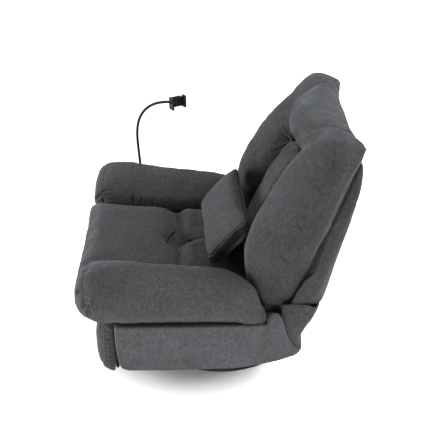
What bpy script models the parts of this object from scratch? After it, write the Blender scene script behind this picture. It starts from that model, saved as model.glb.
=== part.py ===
# Power recliner on a swivel and rocker base, metres, +Z up, sitter facing -Y, sitter's left at +X

import math

import bmesh
import bpy
from mathutils import Matrix, Vector

# Clearances
FIT = 0.0003
PIVOT_GAP = 0.0003
SOFT_GAP = 0.0025

# Ring base and swivel
RING_RADIUS = 0.300
RING_TUBE = 0.0125
GLIDE_HEIGHT = 0.006
GLIDE_RADIUS = 0.020
CROSS_WIDTH = 0.045
CROSS_THICKNESS = 0.006
HUB_RADIUS = 0.110
HUB_RISE = 0.004
PIN_RADIUS = 0.012
PIN_GAP = 0.0006
PIN_STAND = 0.004
RACE_OUTER = 0.095
RACE_INNER = 0.050
RACE_THICKNESS = 0.006
PLATE_SIDE = 0.300
PLATE_THICKNESS = 0.006

# Rocker
ROCK_X = 0.110
ROCK_WIDTH = 0.040
ROCK_RADIUS = 0.055
ROCK_FLOOR = 0.018
ROCK_HALF_LENGTH = 0.070
ROCK_WALL = 0.032
ROCK_GAP = 0.0006
CAM_NECK = 0.045
CAM_BEAM_HALF = 0.130
CAM_BEAM_HEIGHT = 0.012
CAM_TOP_RISE = 0.036
SPRING_RADIUS = 0.020
SPRING_WIRE = 0.0030
SPRING_TURNS = 5
SPRING_Y = 0.110

# Chassis
CROSS_TUBE = 0.025
CROSS_TUBE_Y = 0.110
MECH_X = 0.300
MECH_THICKNESS = 0.006
MECH_FRONT = -0.300
MECH_REAR = 0.2547
MECH_BASE_WIDTH = 0.040
SEAT_FRAME_BOTTOM = 0.296
SEAT_FRAME_HEIGHT = 0.039
SEAT_FRAME_FRONT = -0.360
SEAT_FRAME_REAR = 0.185
FRAME_BOARD = 0.040
SPRING_DECK_WIRE = 0.0020
SPRING_DECK_RUNS = 9
ARM_FRAME_WIDTH = 0.078
ARM_FRAME_BOTTOM = 0.200
ARM_FRAME_FRONT = -0.380
ARM_FRAME_REAR = 0.225
PANEL_OUTER = 0.475
PANEL_THICKNESS = 0.032
REAR_RAIL_THICKNESS = 0.018
REAR_RAIL_BOTTOM = 0.175
REAR_RAIL_SHOULDER = 0.226
REAR_RAIL_FOOT_HALF = 0.350
REAR_RAIL_TOP = 0.298
GLAND_X = 0.164
GLAND_BLOCK = (0.028, 0.016)
GLAND_RADIUS = 0.0060
GLAND_NUB = 0.006

# Arms and seat cushion
ARM_CENTRE = 0.402
ARM_HALF_WIDTH = 0.1035
ARM_FRONT = -0.542
ARM_TOP = 0.580
SEAT_FRONT = -0.557
SEAT_REAR = 0.100
SEAT_CROWN = 0.488
TUFT_Y = -0.175
TUFT_DEPTH = 0.045

# Back, on a plane that leans back from the seat
BACK_LEAN = math.radians(22.0)
BACK_Y = 0.220
BACK_Z = 0.360
BOARD_THICKNESS = 0.020
BOARD_FRONT = -0.010
BOARD_HALF = 0.2957
BOARD_LOW = 0.035
BOARD_HIGH = 0.600
BOARD_CHAMFER = 0.055
LIP_GAP = 0.012
HINGE_BAR = 0.019
HINGE_BAR_LENGTH = 0.240
WING_OUTER = 0.400
WING_INNER = 0.210
ROLL_TOP = 0.680
ROLL_EAR = 0.704
ARCH_TOP = 0.500
SHELL_HALF = 0.376
SHELL_LOW = 0.052
SKIRT_HALF = 0.440
PILLOW_HALF = 0.245
PILLOW_HEIGHT = 0.115
PILLOW_CROWN = 0.050
PILLOW_LEAN = math.radians(48.0)
PILLOW_YAW = math.radians(2.5)
PILLOW_Y = 0.012
PILLOW_EDGE = 0.020
PILLOW_SINK = 0.0010

# Footrest linkage, as distance forward of the swivel axis and height
LINK_THICKNESS = 0.004
LINK_RADIUS = 0.009
SWING_PIVOT = (0.1612, 0.2800)
SWING_LENGTH = 0.1704
SWING_ANGLE = math.radians(-118.64)
REACH_LENGTH = 0.3212
REACH_ANGLE = math.radians(26.10)
GUIDE_OFFSET = (-0.0636, -0.0214)
TILT_OFFSET = (-0.0102, -0.0287)
TORQUE_RADIUS = 0.0085
PAD_BACK = 0.400
PAD_DEPTH = 0.088
PAD_HALF = 0.405
PAD_BOTTOM = 0.085
PAD_TOP = 0.312
OTTOMAN_BOARD = 0.014
OTTOMAN_BOARD_HALF = 0.370

# Drive
TRACK_FRONT = -0.150
TRACK_REAR = 0.140
TRACK_WIDTH = 0.044
TRACK_HEIGHT = 0.020
MOTOR_LENGTH = 0.085
MOTOR_WIDTH = 0.070
CARRIAGE_LENGTH = 0.050
CARRIAGE_HEIGHT = 0.020
CARRIAGE_REST = 0.055

# Controls and phone holder on the sitter's right
PANEL_Y = -0.090
PANEL_Z = 0.250
ESCUTCHEON = (0.0060, 0.110, 0.052)
BUTTON = (0.0060, 0.030, 0.022)
BUTTON_PITCH = 0.046
BUTTON_GAP = 0.0005
BUTTON_PROUD = 0.0020
BUTTON_BACK = 0.0020
NECK_X = -0.520
NECK_Y = -0.343
NECK_RADIUS = 0.0060
NECK_BOTTOM = 0.295
SOCKET_HEIGHT = 0.050
SOCKET_GAP = 0.0006
CLAMP_WIDTH = 0.052
CLAMP_HEIGHT = 0.052
CLAMP_THICKNESS = 0.008
CLAMP_LIP = 0.016
CLAMP_LIP_THICKNESS = 0.010
CLAMP_YAW = math.radians(30.0)
CLAMP_TIP = (-0.49103, -0.207, 0.847)


def clear_scene():
    for obj in list(bpy.data.objects):
        bpy.data.objects.remove(obj, do_unlink=True)


clear_scene()
parts = bpy.data.collections.new("power_recliner")
cutters = bpy.data.collections.new("cutters")
bpy.context.scene.collection.children.link(parts)
bpy.context.scene.collection.children.link(cutters)
cutters.hide_render = True


def make_material(name, colour, roughness, metallic=0.0):
    material = bpy.data.materials.new(name)
    material.use_nodes = True
    shader = material.node_tree.nodes["Principled BSDF"]
    shader.inputs["Base Color"].default_value = (*colour, 1.0)
    shader.inputs["Roughness"].default_value = roughness
    shader.inputs["Metallic"].default_value = metallic
    material.diffuse_color = (*colour, 1.0)
    return material


FABRIC = (0.075, 0.080, 0.087)
STEEL_BLACK = (0.018, 0.018, 0.020)
ZINC = (0.55, 0.55, 0.56)
PLASTIC_BLACK = (0.012, 0.012, 0.013)
PINE = (0.55, 0.42, 0.27)
CHIPBOARD = (0.38, 0.30, 0.20)


def link_to(obj, collection):
    for old in list(obj.users_collection):
        old.objects.unlink(obj)
    collection.objects.link(obj)


def mesh_object(name, bm, collection=None):
    bmesh.ops.recalc_face_normals(bm, faces=bm.faces)
    mesh = bpy.data.meshes.new(name)
    bm.to_mesh(mesh)
    bm.free()
    obj = bpy.data.objects.new(name, mesh)
    (collection or parts).objects.link(obj)
    return obj


def finish(obj, colour, roughness=0.6, metallic=0.0, smooth=False):
    obj.data.materials.clear()
    obj.data.materials.append(make_material(obj.name, colour, roughness, metallic))
    if smooth:
        obj.data.shade_smooth()
        obj.data.set_sharp_from_angle(angle=math.radians(40))
    return obj


def attach(obj, empty):
    """Parents an object to an empty, and keeps it where it is."""
    bpy.context.view_layer.update()
    obj.parent = empty
    obj.matrix_parent_inverse = empty.matrix_world.inverted()
    return obj


def empty_at(name, place, parent=None):
    empty = bpy.data.objects.new(name, None)
    parts.objects.link(empty)
    empty.location = place
    if parent:
        attach(empty, parent)
    return empty


def box(name, low, high, bevel=0.0, collection=None):
    bm = bmesh.new()
    bmesh.ops.create_cube(bm, size=1.0)
    size = [b - a for a, b in zip(low, high)]
    bmesh.ops.scale(bm, vec=size, verts=bm.verts)
    obj = mesh_object(name, bm, collection)
    obj.location = [(a + b) / 2 for a, b in zip(low, high)]
    if bevel:
        soften(obj, bevel)
    return obj


def soften(obj, width, segments=2):
    modifier = obj.modifiers.new("bevel", "BEVEL")
    modifier.width = width
    modifier.segments = segments
    modifier.limit_method = "ANGLE"
    modifier.angle_limit = math.radians(40)


def cylinder(name, radius, low, high, axis="Z", sides=32, collection=None):
    """A round bar whose end centres are the points low and high."""
    low, high = Vector(low), Vector(high)
    bm = bmesh.new()
    bmesh.ops.create_cone(bm, cap_ends=True, segments=sides, radius1=radius, radius2=radius, depth=(high - low).length)
    obj = mesh_object(name, bm, collection)
    turn = {"X": (0, math.pi / 2, 0), "Y": (-math.pi / 2, 0, 0), "Z": (0, 0, 0)}[axis]
    obj.rotation_euler = turn
    obj.location = (low + high) / 2
    return obj


def turned(name, profile, steps=48):
    """A ring turned round Z from a closed profile of (radius, height) points."""
    bm = bmesh.new()
    points = [bm.verts.new((r, 0, z)) for r, z in profile]
    for a, b in zip(points, points[1:] + points[:1]):
        bm.edges.new((a, b))
    mesh = bpy.data.meshes.new(name)
    bm.to_mesh(mesh)
    bm.free()
    obj = bpy.data.objects.new(name, mesh)
    parts.objects.link(obj)
    screw = obj.modifiers.new("turn", "SCREW")
    screw.steps = screw.render_steps = steps
    screw.use_merge_vertices = True
    screw.merge_threshold = 0.00005
    return obj


def boolean(obj, other, operation):
    modifier = obj.modifiers.new(other.name, "BOOLEAN")
    modifier.operation = operation
    modifier.object = other
    other.hide_render = True
    other.display_type = "WIRE"
    link_to(other, cutters)


def flat_shape(name, outline, thickness):
    """A flat outline as a curve object, half its thickness to each side of its own plane."""
    curve = bpy.data.curves.new(name, "CURVE")
    curve.dimensions = "2D"
    curve.fill_mode = "BOTH"
    curve.extrude = thickness / 2
    spline = curve.splines.new("POLY")
    spline.points.add(len(outline) - 1)
    for point, (a, b) in zip(spline.points, outline):
        point.co = (a, b, 0, 1)
    spline.use_cyclic_u = True
    shape = bpy.data.objects.new(name + "_outline", curve)
    parts.objects.link(shape)
    return shape


def plate(name, outline, x_low, x_high, bevel=0.0):
    """A flat outline of (y, z) points, extruded from x_low to x_high."""
    shape = flat_shape(name, outline, x_high - x_low)
    shape.rotation_euler = (math.pi / 2, 0, math.pi / 2)
    shape.location.x = (x_low + x_high) / 2
    return as_mesh(shape, name, bevel)


def as_mesh(shape, name, bevel=0.0):
    """Turns a curve object into a closed mesh object."""
    bpy.context.view_layer.update()
    graph = bpy.context.evaluated_depsgraph_get()
    mesh = bpy.data.meshes.new_from_object(shape.evaluated_get(graph))
    bm = bmesh.new()
    bm.from_mesh(mesh)
    bmesh.ops.remove_doubles(bm, verts=bm.verts, dist=0.00001)
    bmesh.ops.recalc_face_normals(bm, faces=bm.faces)
    bm.to_mesh(mesh)
    bm.free()
    obj = bpy.data.objects.new(name, mesh)
    parts.objects.link(obj)
    obj.matrix_world = shape.matrix_world
    bpy.data.objects.remove(shape, do_unlink=True)
    if bevel:
        soften(obj, bevel)
    return obj


def tube(name, points, radius, bevel_resolution=2):
    curve = bpy.data.curves.new(name, "CURVE")
    curve.dimensions = "3D"
    curve.bevel_depth = radius
    curve.bevel_resolution = bevel_resolution
    curve.use_fill_caps = True
    spline = curve.splines.new("POLY")
    spline.points.add(len(points) - 1)
    for point, place in zip(spline.points, points):
        point.co = (*place, 1)
    shape = bpy.data.objects.new(name + "_path", curve)
    parts.objects.link(shape)
    return as_mesh(shape, name)


def smooth_path(points, pieces):
    """Catmull-Rom points through the given ones."""
    ends = [points[0] * 2 - points[1], *points, points[-1] * 2 - points[-2]]
    found = []
    for i in range(1, len(ends) - 2):
        a, b, c, d = ends[i - 1 : i + 3]
        for k in range(pieces):
            t = k / pieces
            found.append(0.5 * (2 * b + (c - a) * t + (2 * a - 5 * b + 4 * c - d) * t**2 + (3 * b - a - 3 * c + d) * t**3))
    return found + [points[-1]]


def rounded_hull(centres, radius, steps=16):
    """The outline round a few equal circles, as (y, z) points."""
    points = []
    for y, z in centres:
        for k in range(steps):
            turn = 2 * math.pi * k / steps
            points.append((round(y + radius * math.cos(turn), 6), round(z + radius * math.sin(turn), 6)))
    points = sorted(set(points))

    def chain(ordered):
        kept = []
        for p in ordered:
            while len(kept) > 1:
                (ay, az), (by, bz) = kept[-2:]
                if (by - ay) * (p[1] - az) - (bz - az) * (p[0] - ay) > 1e-9:
                    break
                kept.pop()
            kept.append(p)
        return kept[:-1]

    return chain(points) + chain(points[::-1])


def loft(name, rings):
    """A soft form through closed rings of points."""
    bm = bmesh.new()
    grid = [[bm.verts.new(p) for p in ring] for ring in rings]
    count = len(grid[0])
    for a, b in zip(grid, grid[1:]):
        for k in range(count):
            n = (k + 1) % count
            bm.faces.new((a[k], a[n], b[n], b[k]))
    bm.faces.new(grid[0])
    bm.faces.new(grid[-1][::-1])
    return finish(mesh_object(name, bm), FABRIC, 0.92, smooth=True)


def smooth_rows(rows, pieces=2):
    """The rows with Catmull-Rom rows between them, each column kept within its own range."""
    columns = list(zip(*rows))
    limits = [(min(column), max(column)) for column in columns]
    ends = [rows[0], *rows, rows[-1]]
    found = []
    for a, b, c, d in zip(ends, ends[1:], ends[2:], ends[3:]):
        for k in range(pieces):
            t = k / pieces
            row = []
            for p, q, r, s, (low, high) in zip(a, b, c, d, limits):
                bend = (2 * p - 5 * q + 4 * r - s) * t**2 + (3 * q - p - 3 * r + s) * t**3
                row.append(min(high, max(low, q + 0.5 * ((r - p) * t + bend))))
            found.append(tuple(row))
    return found + [tuple(rows[-1])]


def power(value, exponent):
    return math.copysign(abs(value) ** exponent, value)


def lerp(a, b, t):
    return a + (b - a) * t


def table(rows, x):
    """Reads a value from rows of (x, value), straight between them."""
    if x <= rows[0][0]:
        return rows[0][1]
    for (xa, a), (xb, b) in zip(rows, rows[1:]):
        if x <= xb:
            return lerp(a, b, (x - xa) / (xb - xa))
    return rows[-1][1]


def groove(distance, width):
    """1 on a seam, falling smoothly to 0 at the width."""
    return math.exp(-((distance / width) ** 2))


def forward(point):
    """A (forward, height) point as (y, z)."""
    return -point[0], point[1]


def along(point, length, angle):
    return point[0] + length * math.cos(angle), point[1] + length * math.sin(angle)


def back_point(x, v, w):
    """A point on the back: x across, v up the lean, w out towards the sitter."""
    sin, cos = math.sin(BACK_LEAN), math.cos(BACK_LEAN)
    return x, BACK_Y + v * sin - w * cos, BACK_Z + v * cos + w * sin


# Heights that follow from the driving sizes
RING_Z = GLIDE_HEIGHT + FIT + RING_TUBE
CROSS_BOTTOM = RING_Z + RING_TUBE + FIT
HUB_TOP = CROSS_BOTTOM + CROSS_THICKNESS + HUB_RISE
RACE_BOTTOM = HUB_TOP + FIT
PLATE_BOTTOM = RACE_BOTTOM + RACE_THICKNESS + FIT
PLATE_TOP = PLATE_BOTTOM + PLATE_THICKNESS
STAND_BOTTOM = PLATE_TOP + FIT
ROCK_Z = STAND_BOTTOM + ROCK_FLOOR + ROCK_RADIUS
CAM_TOP = ROCK_Z + CAM_TOP_RISE
CROSS_TUBE_BOTTOM = CAM_TOP + FIT
MECH_BASE_BOTTOM = CROSS_TUBE_BOTTOM
TRACK_BOTTOM = CROSS_TUBE_BOTTOM + CROSS_TUBE + FIT
SEAT_FRAME_TOP = SEAT_FRAME_BOTTOM + SEAT_FRAME_HEIGHT
MECH_TOP = SEAT_FRAME_BOTTOM - FIT
CUSHION_BOTTOM = SEAT_FRAME_TOP + FIT
PANEL_INNER = PANEL_OUTER - PANEL_THICKNESS
PANEL_TOP = CUSHION_BOTTOM + 0.020
SEAT_FRAME_HALF = PANEL_INNER - ARM_FRAME_WIDTH - 2 * FIT
ARM_BOTTOM = PANEL_TOP + FIT
BOARD_BACK = BOARD_FRONT - BOARD_THICKNESS
BACK_HINGE = back_point(0, 0, BOARD_FRONT - BOARD_THICKNESS / 2)

# The origin lies under the middle of the whole object
CLAMP_REACH = 2 * FIT + 0.014 + CLAMP_WIDTH + CLAMP_LIP_THICKNESS
CLAMP_FAR = CLAMP_REACH * math.sin(CLAMP_YAW) + (CLAMP_LIP - CLAMP_THICKNESS - FIT) * math.cos(CLAMP_YAW)
ORIGIN_X = -((CLAMP_TIP[0] - CLAMP_FAR) + (ARM_CENTRE + ARM_HALF_WIDTH)) / 2
ORIGIN_Y = -(SEAT_FRONT + back_point(0, ROLL_EAR, BOARD_BACK)[1]) / 2

# Linkage points at rest, (forward, height)
SWING_END = along(SWING_PIVOT, SWING_LENGTH, SWING_ANGLE)
REACH_END = along(SWING_END, REACH_LENGTH, REACH_ANGLE)
GUIDE_PIVOT = (SWING_PIVOT[0] + GUIDE_OFFSET[0], SWING_PIVOT[1] + GUIDE_OFFSET[1])
GUIDE_END = (SWING_END[0] + GUIDE_OFFSET[0], SWING_END[1] + GUIDE_OFFSET[1])
TILT_PIVOT = (SWING_END[0] + TILT_OFFSET[0], SWING_END[1] + TILT_OFFSET[1])
TILT_END = (REACH_END[0] + TILT_OFFSET[0], REACH_END[1] + TILT_OFFSET[1])


def link_layer(number):
    """Inner and outer x of a layer of linkage bars outside the mechanism plate."""
    inner = MECH_X + MECH_THICKNESS + PIVOT_GAP + (number - 1) * (LINK_THICKNESS + PIVOT_GAP)
    return inner, inner + LINK_THICKNESS


def sided(side, low, high):
    """Mirrors an x range to the left (+1) or right (-1) side."""
    return (low, high) if side > 0 else (-high, -low)


SIDES = (("left", 1), ("right", -1))


def make_base(base):
    ring_profile = [
        (RING_RADIUS + RING_TUBE * math.cos(t), RING_Z + RING_TUBE * math.sin(t))
        for t in [-2 * math.pi * k / 10 for k in range(10)]
    ]
    attach(finish(turned("base_ring", ring_profile, 44), STEEL_BLACK, 0.35, 0.6, True), base)
    cross = box(
        "base_cross",
        (-RING_RADIUS - RING_TUBE / 2, -CROSS_WIDTH / 2, CROSS_BOTTOM),
        (RING_RADIUS + RING_TUBE / 2, CROSS_WIDTH / 2, CROSS_BOTTOM + CROSS_THICKNESS),
    )
    other = box(
        "cross_bar",
        (-CROSS_WIDTH / 2, -RING_RADIUS - RING_TUBE / 2, CROSS_BOTTOM),
        (CROSS_WIDTH / 2, RING_RADIUS + RING_TUBE / 2, CROSS_BOTTOM + CROSS_THICKNESS),
    )
    hub = cylinder("hub_disc", HUB_RADIUS, (0, 0, CROSS_BOTTOM + CROSS_THICKNESS / 2), (0, 0, HUB_TOP), sides=40)
    pin = cylinder("king_pin", PIN_RADIUS, (0, 0, CROSS_BOTTOM + CROSS_THICKNESS / 2), (0, 0, PLATE_TOP + PIN_STAND))
    for piece in (other, hub, pin):
        boolean(cross, piece, "UNION")
    attach(finish(cross, STEEL_BLACK, 0.4, 0.6), base)
    for k in range(4):
        turn = math.pi / 4 + k * math.pi / 2
        place = RING_RADIUS * math.cos(turn), RING_RADIUS * math.sin(turn)
        glide = cylinder(f"base_glide_{k + 1}", GLIDE_RADIUS, (*place, 0), (*place, GLIDE_HEIGHT), sides=20)
        attach(finish(glide, PLASTIC_BLACK, 0.7, smooth=True), base)
    low, high = RACE_BOTTOM, RACE_BOTTOM + RACE_THICKNESS
    race = turned("swivel_race", [(RACE_OUTER, high), (RACE_OUTER, low), (RACE_INNER, low), (RACE_INNER, high)], 40)
    attach(finish(race, ZINC, 0.35, 0.9), base)


def make_turntable(turntable):
    half = PLATE_SIDE / 2
    top = box("swivel_plate", (-half, -half, PLATE_BOTTOM), (half, half, PLATE_TOP))
    boolean(top, cylinder("pin_bore", PIN_RADIUS + PIN_GAP, (0, 0, 0), (0, 0, PLATE_TOP + 0.02)), "DIFFERENCE")
    attach(finish(top, STEEL_BLACK, 0.45, 0.6), turntable)
    for label, side in SIDES:
        x_low, x_high = sided(side, ROCK_X - ROCK_WIDTH / 2, ROCK_X + ROCK_WIDTH / 2)
        stand = box(
            f"rocker_stand_{label}",
            (x_low, -ROCK_HALF_LENGTH, STAND_BOTTOM),
            (x_high, ROCK_HALF_LENGTH, STAND_BOTTOM + ROCK_FLOOR + ROCK_WALL),
        )
        trough = cylinder(
            f"rocker_trough_{label}",
            ROCK_RADIUS,
            (x_low - 0.01, 0, ROCK_Z),
            (x_high + 0.01, 0, ROCK_Z),
            "X",
            64,
        )
        boolean(stand, trough, "DIFFERENCE")
        attach(finish(stand, STEEL_BLACK, 0.5, 0.6), turntable)
    for label, y in (("front", -SPRING_Y), ("rear", SPRING_Y)):
        bottom = PLATE_TOP + FIT + SPRING_WIRE
        top_z = CROSS_TUBE_BOTTOM - FIT - SPRING_WIRE
        steps = SPRING_TURNS * 9
        coil = [
            (
                SPRING_RADIUS * math.cos(2 * math.pi * SPRING_TURNS * k / steps),
                y + SPRING_RADIUS * math.sin(2 * math.pi * SPRING_TURNS * k / steps),
                lerp(bottom, top_z, k / steps),
            )
            for k in range(steps + 1)
        ]
        attach(finish(tube(f"rock_spring_{label}", coil, SPRING_WIRE, 1), ZINC, 0.4, 0.9, True), turntable)


def make_chassis(chassis):
    for label, side in SIDES:
        x_low, x_high = sided(side, ROCK_X - ROCK_WIDTH / 2, ROCK_X + ROCK_WIDTH / 2)
        cam = cylinder(
            f"rocker_cam_{label}",
            ROCK_RADIUS - ROCK_GAP,
            (x_low, 0, ROCK_Z),
            (x_high, 0, ROCK_Z),
            "X",
            64,
        )
        crown = box(f"cam_crown_{label}", (x_low - 0.01, -0.1, ROCK_Z + 0.002), (x_high + 0.01, 0.1, ROCK_Z + 0.2))
        boolean(cam, crown, "DIFFERENCE")
        neck = box(f"cam_neck_{label}", (x_low, -CAM_NECK, ROCK_Z - 0.01), (x_high, CAM_NECK, CAM_TOP - 0.004))
        boolean(cam, neck, "UNION")
        beam = box(
            f"cam_beam_{label}",
            (x_low, -CAM_BEAM_HALF, CAM_TOP - CAM_BEAM_HEIGHT),
            (x_high, CAM_BEAM_HALF, CAM_TOP),
        )
        boolean(cam, beam, "UNION")
        attach(finish(cam, STEEL_BLACK, 0.5, 0.6), chassis)
    for label, y in (("front", -CROSS_TUBE_Y), ("rear", CROSS_TUBE_Y)):
        half = MECH_X - FIT
        bar = box(
            f"{label}_cross_tube",
            (-half, y - CROSS_TUBE / 2, CROSS_TUBE_BOTTOM),
            (half, y + CROSS_TUBE / 2, CROSS_TUBE_BOTTOM + CROSS_TUBE),
            0.002,
        )
        attach(finish(bar, STEEL_BLACK, 0.45, 0.6), chassis)
    hinge_y, hinge_z = BACK_HINGE[1:]
    ear = HINGE_BAR / 2
    for label, side in SIDES:
        x_low, x_high = sided(side, MECH_X, MECH_X + MECH_THICKNESS)
        arc = [(hinge_y + ear * math.cos(t), hinge_z + ear * math.sin(t)) for t in [math.pi * k / 8 for k in range(9)]]
        outline = [
            (MECH_FRONT, MECH_TOP - MECH_BASE_WIDTH),
            (-CROSS_TUBE_Y - CROSS_TUBE, MECH_BASE_BOTTOM),
            (MECH_REAR, MECH_BASE_BOTTOM),
            (MECH_REAR, MECH_TOP - 0.010),
            (hinge_y + ear, MECH_TOP),
            *arc,
            (hinge_y - ear, MECH_TOP),
            (MECH_FRONT, MECH_TOP),
        ]
        body = plate(f"mechanism_plate_{label}", outline, x_low, x_high)
        y, z = forward(SWING_PIVOT)
        bore = cylinder(f"torque_bore_{label}", TORQUE_RADIUS + PIVOT_GAP, (x_low - 0.01, y, z), (x_high + 0.01, y, z), "X", 24)
        boolean(body, bore, "DIFFERENCE")
        attach(finish(body, STEEL_BLACK, 0.45, 0.7), chassis)
    make_seat_frame(chassis)
    make_sides(chassis)
    make_drive(chassis)


def make_seat_frame(chassis):
    low = (-SEAT_FRAME_HALF, SEAT_FRAME_FRONT, SEAT_FRAME_BOTTOM)
    high = (SEAT_FRAME_HALF, SEAT_FRAME_REAR, SEAT_FRAME_TOP)
    frame = box("seat_frame", low, high)
    well = box(
        "seat_frame_well",
        (low[0] + FRAME_BOARD, low[1] + FRAME_BOARD, low[2] - 0.01),
        (high[0] - FRAME_BOARD, high[1] - FRAME_BOARD, high[2] + 0.01),
        collection=cutters,
    )
    boolean(frame, well, "DIFFERENCE")
    attach(finish(frame, PINE, 0.7), chassis)
    inner_x = SEAT_FRAME_HALF - FRAME_BOARD - FIT - SPRING_DECK_WIRE
    front = SEAT_FRAME_FRONT + FRAME_BOARD + FIT + SPRING_DECK_WIRE
    rear = SEAT_FRAME_REAR - FRAME_BOARD - FIT - SPRING_DECK_WIRE
    height = SEAT_FRAME_TOP - 0.006
    wire = []
    for k in range(SPRING_DECK_RUNS):
        x = lerp(-inner_x, inner_x, k / (SPRING_DECK_RUNS - 1))
        ends = (front, rear) if k % 2 == 0 else (rear, front)
        wire += [(x, ends[0], height), (x, lerp(*ends, 0.5), height), (x, ends[1], height)]
    attach(finish(tube("seat_spring_wire", wire, SPRING_DECK_WIRE, 1), ZINC, 0.4, 0.9), chassis)


def side_panel_outline():
    """The padded side panel seen from the left, as (y, z) points."""
    top = PANEL_TOP
    return [
        (-0.404, top),
        (-0.402, 0.270),
        (-0.394, 0.186),
        (-0.384, 0.164),
        (-0.360, 0.154),
        (-0.200, 0.151),
        (0.050, 0.157),
        (0.139, 0.174),
        (0.200, 0.190),
        (0.262, 0.211),
        (0.282, 0.227),
        (0.284, 0.240),
        (0.256, 0.257),
        (0.231, 0.303),
        (0.223, 0.336),
        (0.213, 0.368),
        (0.198, 0.386),
        (0.176, 0.391),
        (0.162, 0.380),
        (0.157, top),
    ]


def make_sides(chassis):
    for label, side in SIDES:
        x_low, x_high = sided(side, PANEL_INNER - FIT - ARM_FRAME_WIDTH, PANEL_INNER - FIT)
        frame = box(
            f"arm_frame_{label}",
            (x_low, ARM_FRAME_FRONT, ARM_FRAME_BOTTOM),
            (x_high, ARM_FRAME_REAR, ARM_BOTTOM - FIT),
        )
        hollow = box(
            f"arm_frame_hollow_{label}",
            (x_low + 0.018, ARM_FRAME_FRONT + 0.02, ARM_FRAME_BOTTOM - 0.01),
            (x_high - 0.018, ARM_FRAME_REAR - 0.02, ARM_BOTTOM - FIT - 0.018),
            collection=cutters,
        )
        boolean(frame, hollow, "DIFFERENCE")
        attach(finish(frame, PINE, 0.7), chassis)
        panel = plate(f"side_panel_{label}", side_panel_outline(), *sided(side, PANEL_INNER, PANEL_OUTER), 0.008)
        attach(finish(panel, FABRIC, 0.92, smooth=True), chassis)
        attach(make_arm(f"arm_{label}", side), chassis)
    half = PANEL_INNER - FIT
    rail = box(
        "rear_rail",
        (-half, MECH_REAR + FIT, REAR_RAIL_SHOULDER),
        (half, MECH_REAR + FIT + REAR_RAIL_THICKNESS, REAR_RAIL_TOP),
    )
    foot = box(
        "rear_rail_foot",
        (-REAR_RAIL_FOOT_HALF, MECH_REAR + FIT, REAR_RAIL_BOTTOM),
        (REAR_RAIL_FOOT_HALF, MECH_REAR + FIT + REAR_RAIL_THICKNESS, REAR_RAIL_SHOULDER + 0.010),
    )
    boolean(rail, foot, "UNION")
    attach(finish(rail, CHIPBOARD, 0.8), chassis)
    wide, tall = GLAND_BLOCK
    low_y, high_y = MECH_REAR + FIT, MECH_REAR + FIT + REAR_RAIL_THICKNESS
    top = REAR_RAIL_BOTTOM - FIT
    inlet = box("power_inlet", (GLAND_X - wide / 2, low_y, top - tall), (GLAND_X + wide / 2, high_y, top), 0.0015)
    middle = (low_y + high_y) / 2
    nub = cylinder("inlet_nub", GLAND_RADIUS, (GLAND_X, middle, top - tall - GLAND_NUB), (GLAND_X, middle, top - tall / 2), sides=20)
    boolean(inlet, nub, "UNION")
    attach(finish(inlet, PLASTIC_BLACK, 0.5), chassis)


# Arm profile: (distance back from the front, underside, top, inner and outer share of the half width)
ARM_PROFILE = (
    (0.000, 0.436, 0.496, 0.70, 0.42, 0.006),
    (0.010, 0.412, 0.530, 0.86, 0.62, 0.010),
    (0.024, 0.394, 0.554, 0.95, 0.76, 0.014),
    (0.050, 0.376, 0.573, 1.00, 0.89, 0.017),
    (0.095, ARM_BOTTOM + 0.006, ARM_TOP, 1.00, 0.97, 0.018),
    (0.170, ARM_BOTTOM, ARM_TOP - 0.001, 1.00, 1.00, 0.017),
    (0.300, ARM_BOTTOM, 0.561, 1.00, 1.00, 0.011),
    (0.450, ARM_BOTTOM, 0.542, 1.00, 1.00, 0.006),
    (0.545, ARM_BOTTOM, 0.523, 1.00, 1.00, 0.002),
    (0.584, ARM_BOTTOM, 0.504, 1.00, 0.99, 0.001),
    (0.605, ARM_BOTTOM, 0.480, 1.00, 0.98, 0.000),
    (0.624, ARM_BOTTOM, 0.447, 1.00, 0.97, 0.000),
    (0.645, ARM_BOTTOM, 0.410, 0.94, 0.96, 0.000),
    (0.658, ARM_BOTTOM, 0.393, 0.60, 0.94, 0.000),
    (0.670, ARM_BOTTOM, 0.387, 0.00, 0.92, 0.000),
    (0.682, ARM_BOTTOM + 0.001, 0.383, 0.00, 0.87, 0.000),
    (0.691, ARM_BOTTOM + 0.005, 0.376, 0.00, 0.78, 0.000),
)


def make_arm(name, side):
    """A stuffed arm: a fat roll along Y with a flat underside, fuller at its inner front."""
    rings = []
    for back, low, high, inner, outer, tilt in smooth_rows(ARM_PROFILE):
        middle, tall = (low + high) / 2, (high - low) / 2
        ring = []
        for k in range(18):
            t = 2 * math.pi * (k + 0.5) / 18
            c, s = math.cos(t), math.sin(t)
            flank, shoulder = (0.56, 0.78) if s > 0 else (0.85, 0.60)
            x = ARM_HALF_WIDTH * (outer if c > 0 else inner) * power(c, flank if c > 0 else shoulder)
            sole = 1.12 * abs(s) ** 0.75 if c > 0 else 1.25 * abs(s) ** 0.60
            z = tall * (s**0.66 if s > 0 else -min(1.0, sole))
            z += tilt * x / ARM_HALF_WIDTH * max(0.0, s)
            ring.append((side * (ARM_CENTRE + x), ARM_FRONT + back, middle + z))
        rings.append(ring if side > 0 else ring[::-1])
    return loft(name, rings)


def make_drive(chassis):
    half = TRACK_WIDTH / 2
    top = TRACK_BOTTOM + TRACK_HEIGHT
    track = box("drive_track", (-half, TRACK_FRONT, TRACK_BOTTOM), (half, TRACK_REAR, top), 0.002)
    attach(finish(track, ZINC, 0.4, 0.8), chassis)
    motor_low = (-MOTOR_WIDTH / 2, TRACK_REAR + FIT, CROSS_TUBE_BOTTOM)
    motor_high = (MOTOR_WIDTH / 2, TRACK_REAR + FIT + MOTOR_LENGTH, TRACK_BOTTOM + 0.065)
    attach(finish(box("drive_motor", motor_low, motor_high, 0.006), PLASTIC_BLACK, 0.5), chassis)


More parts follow.
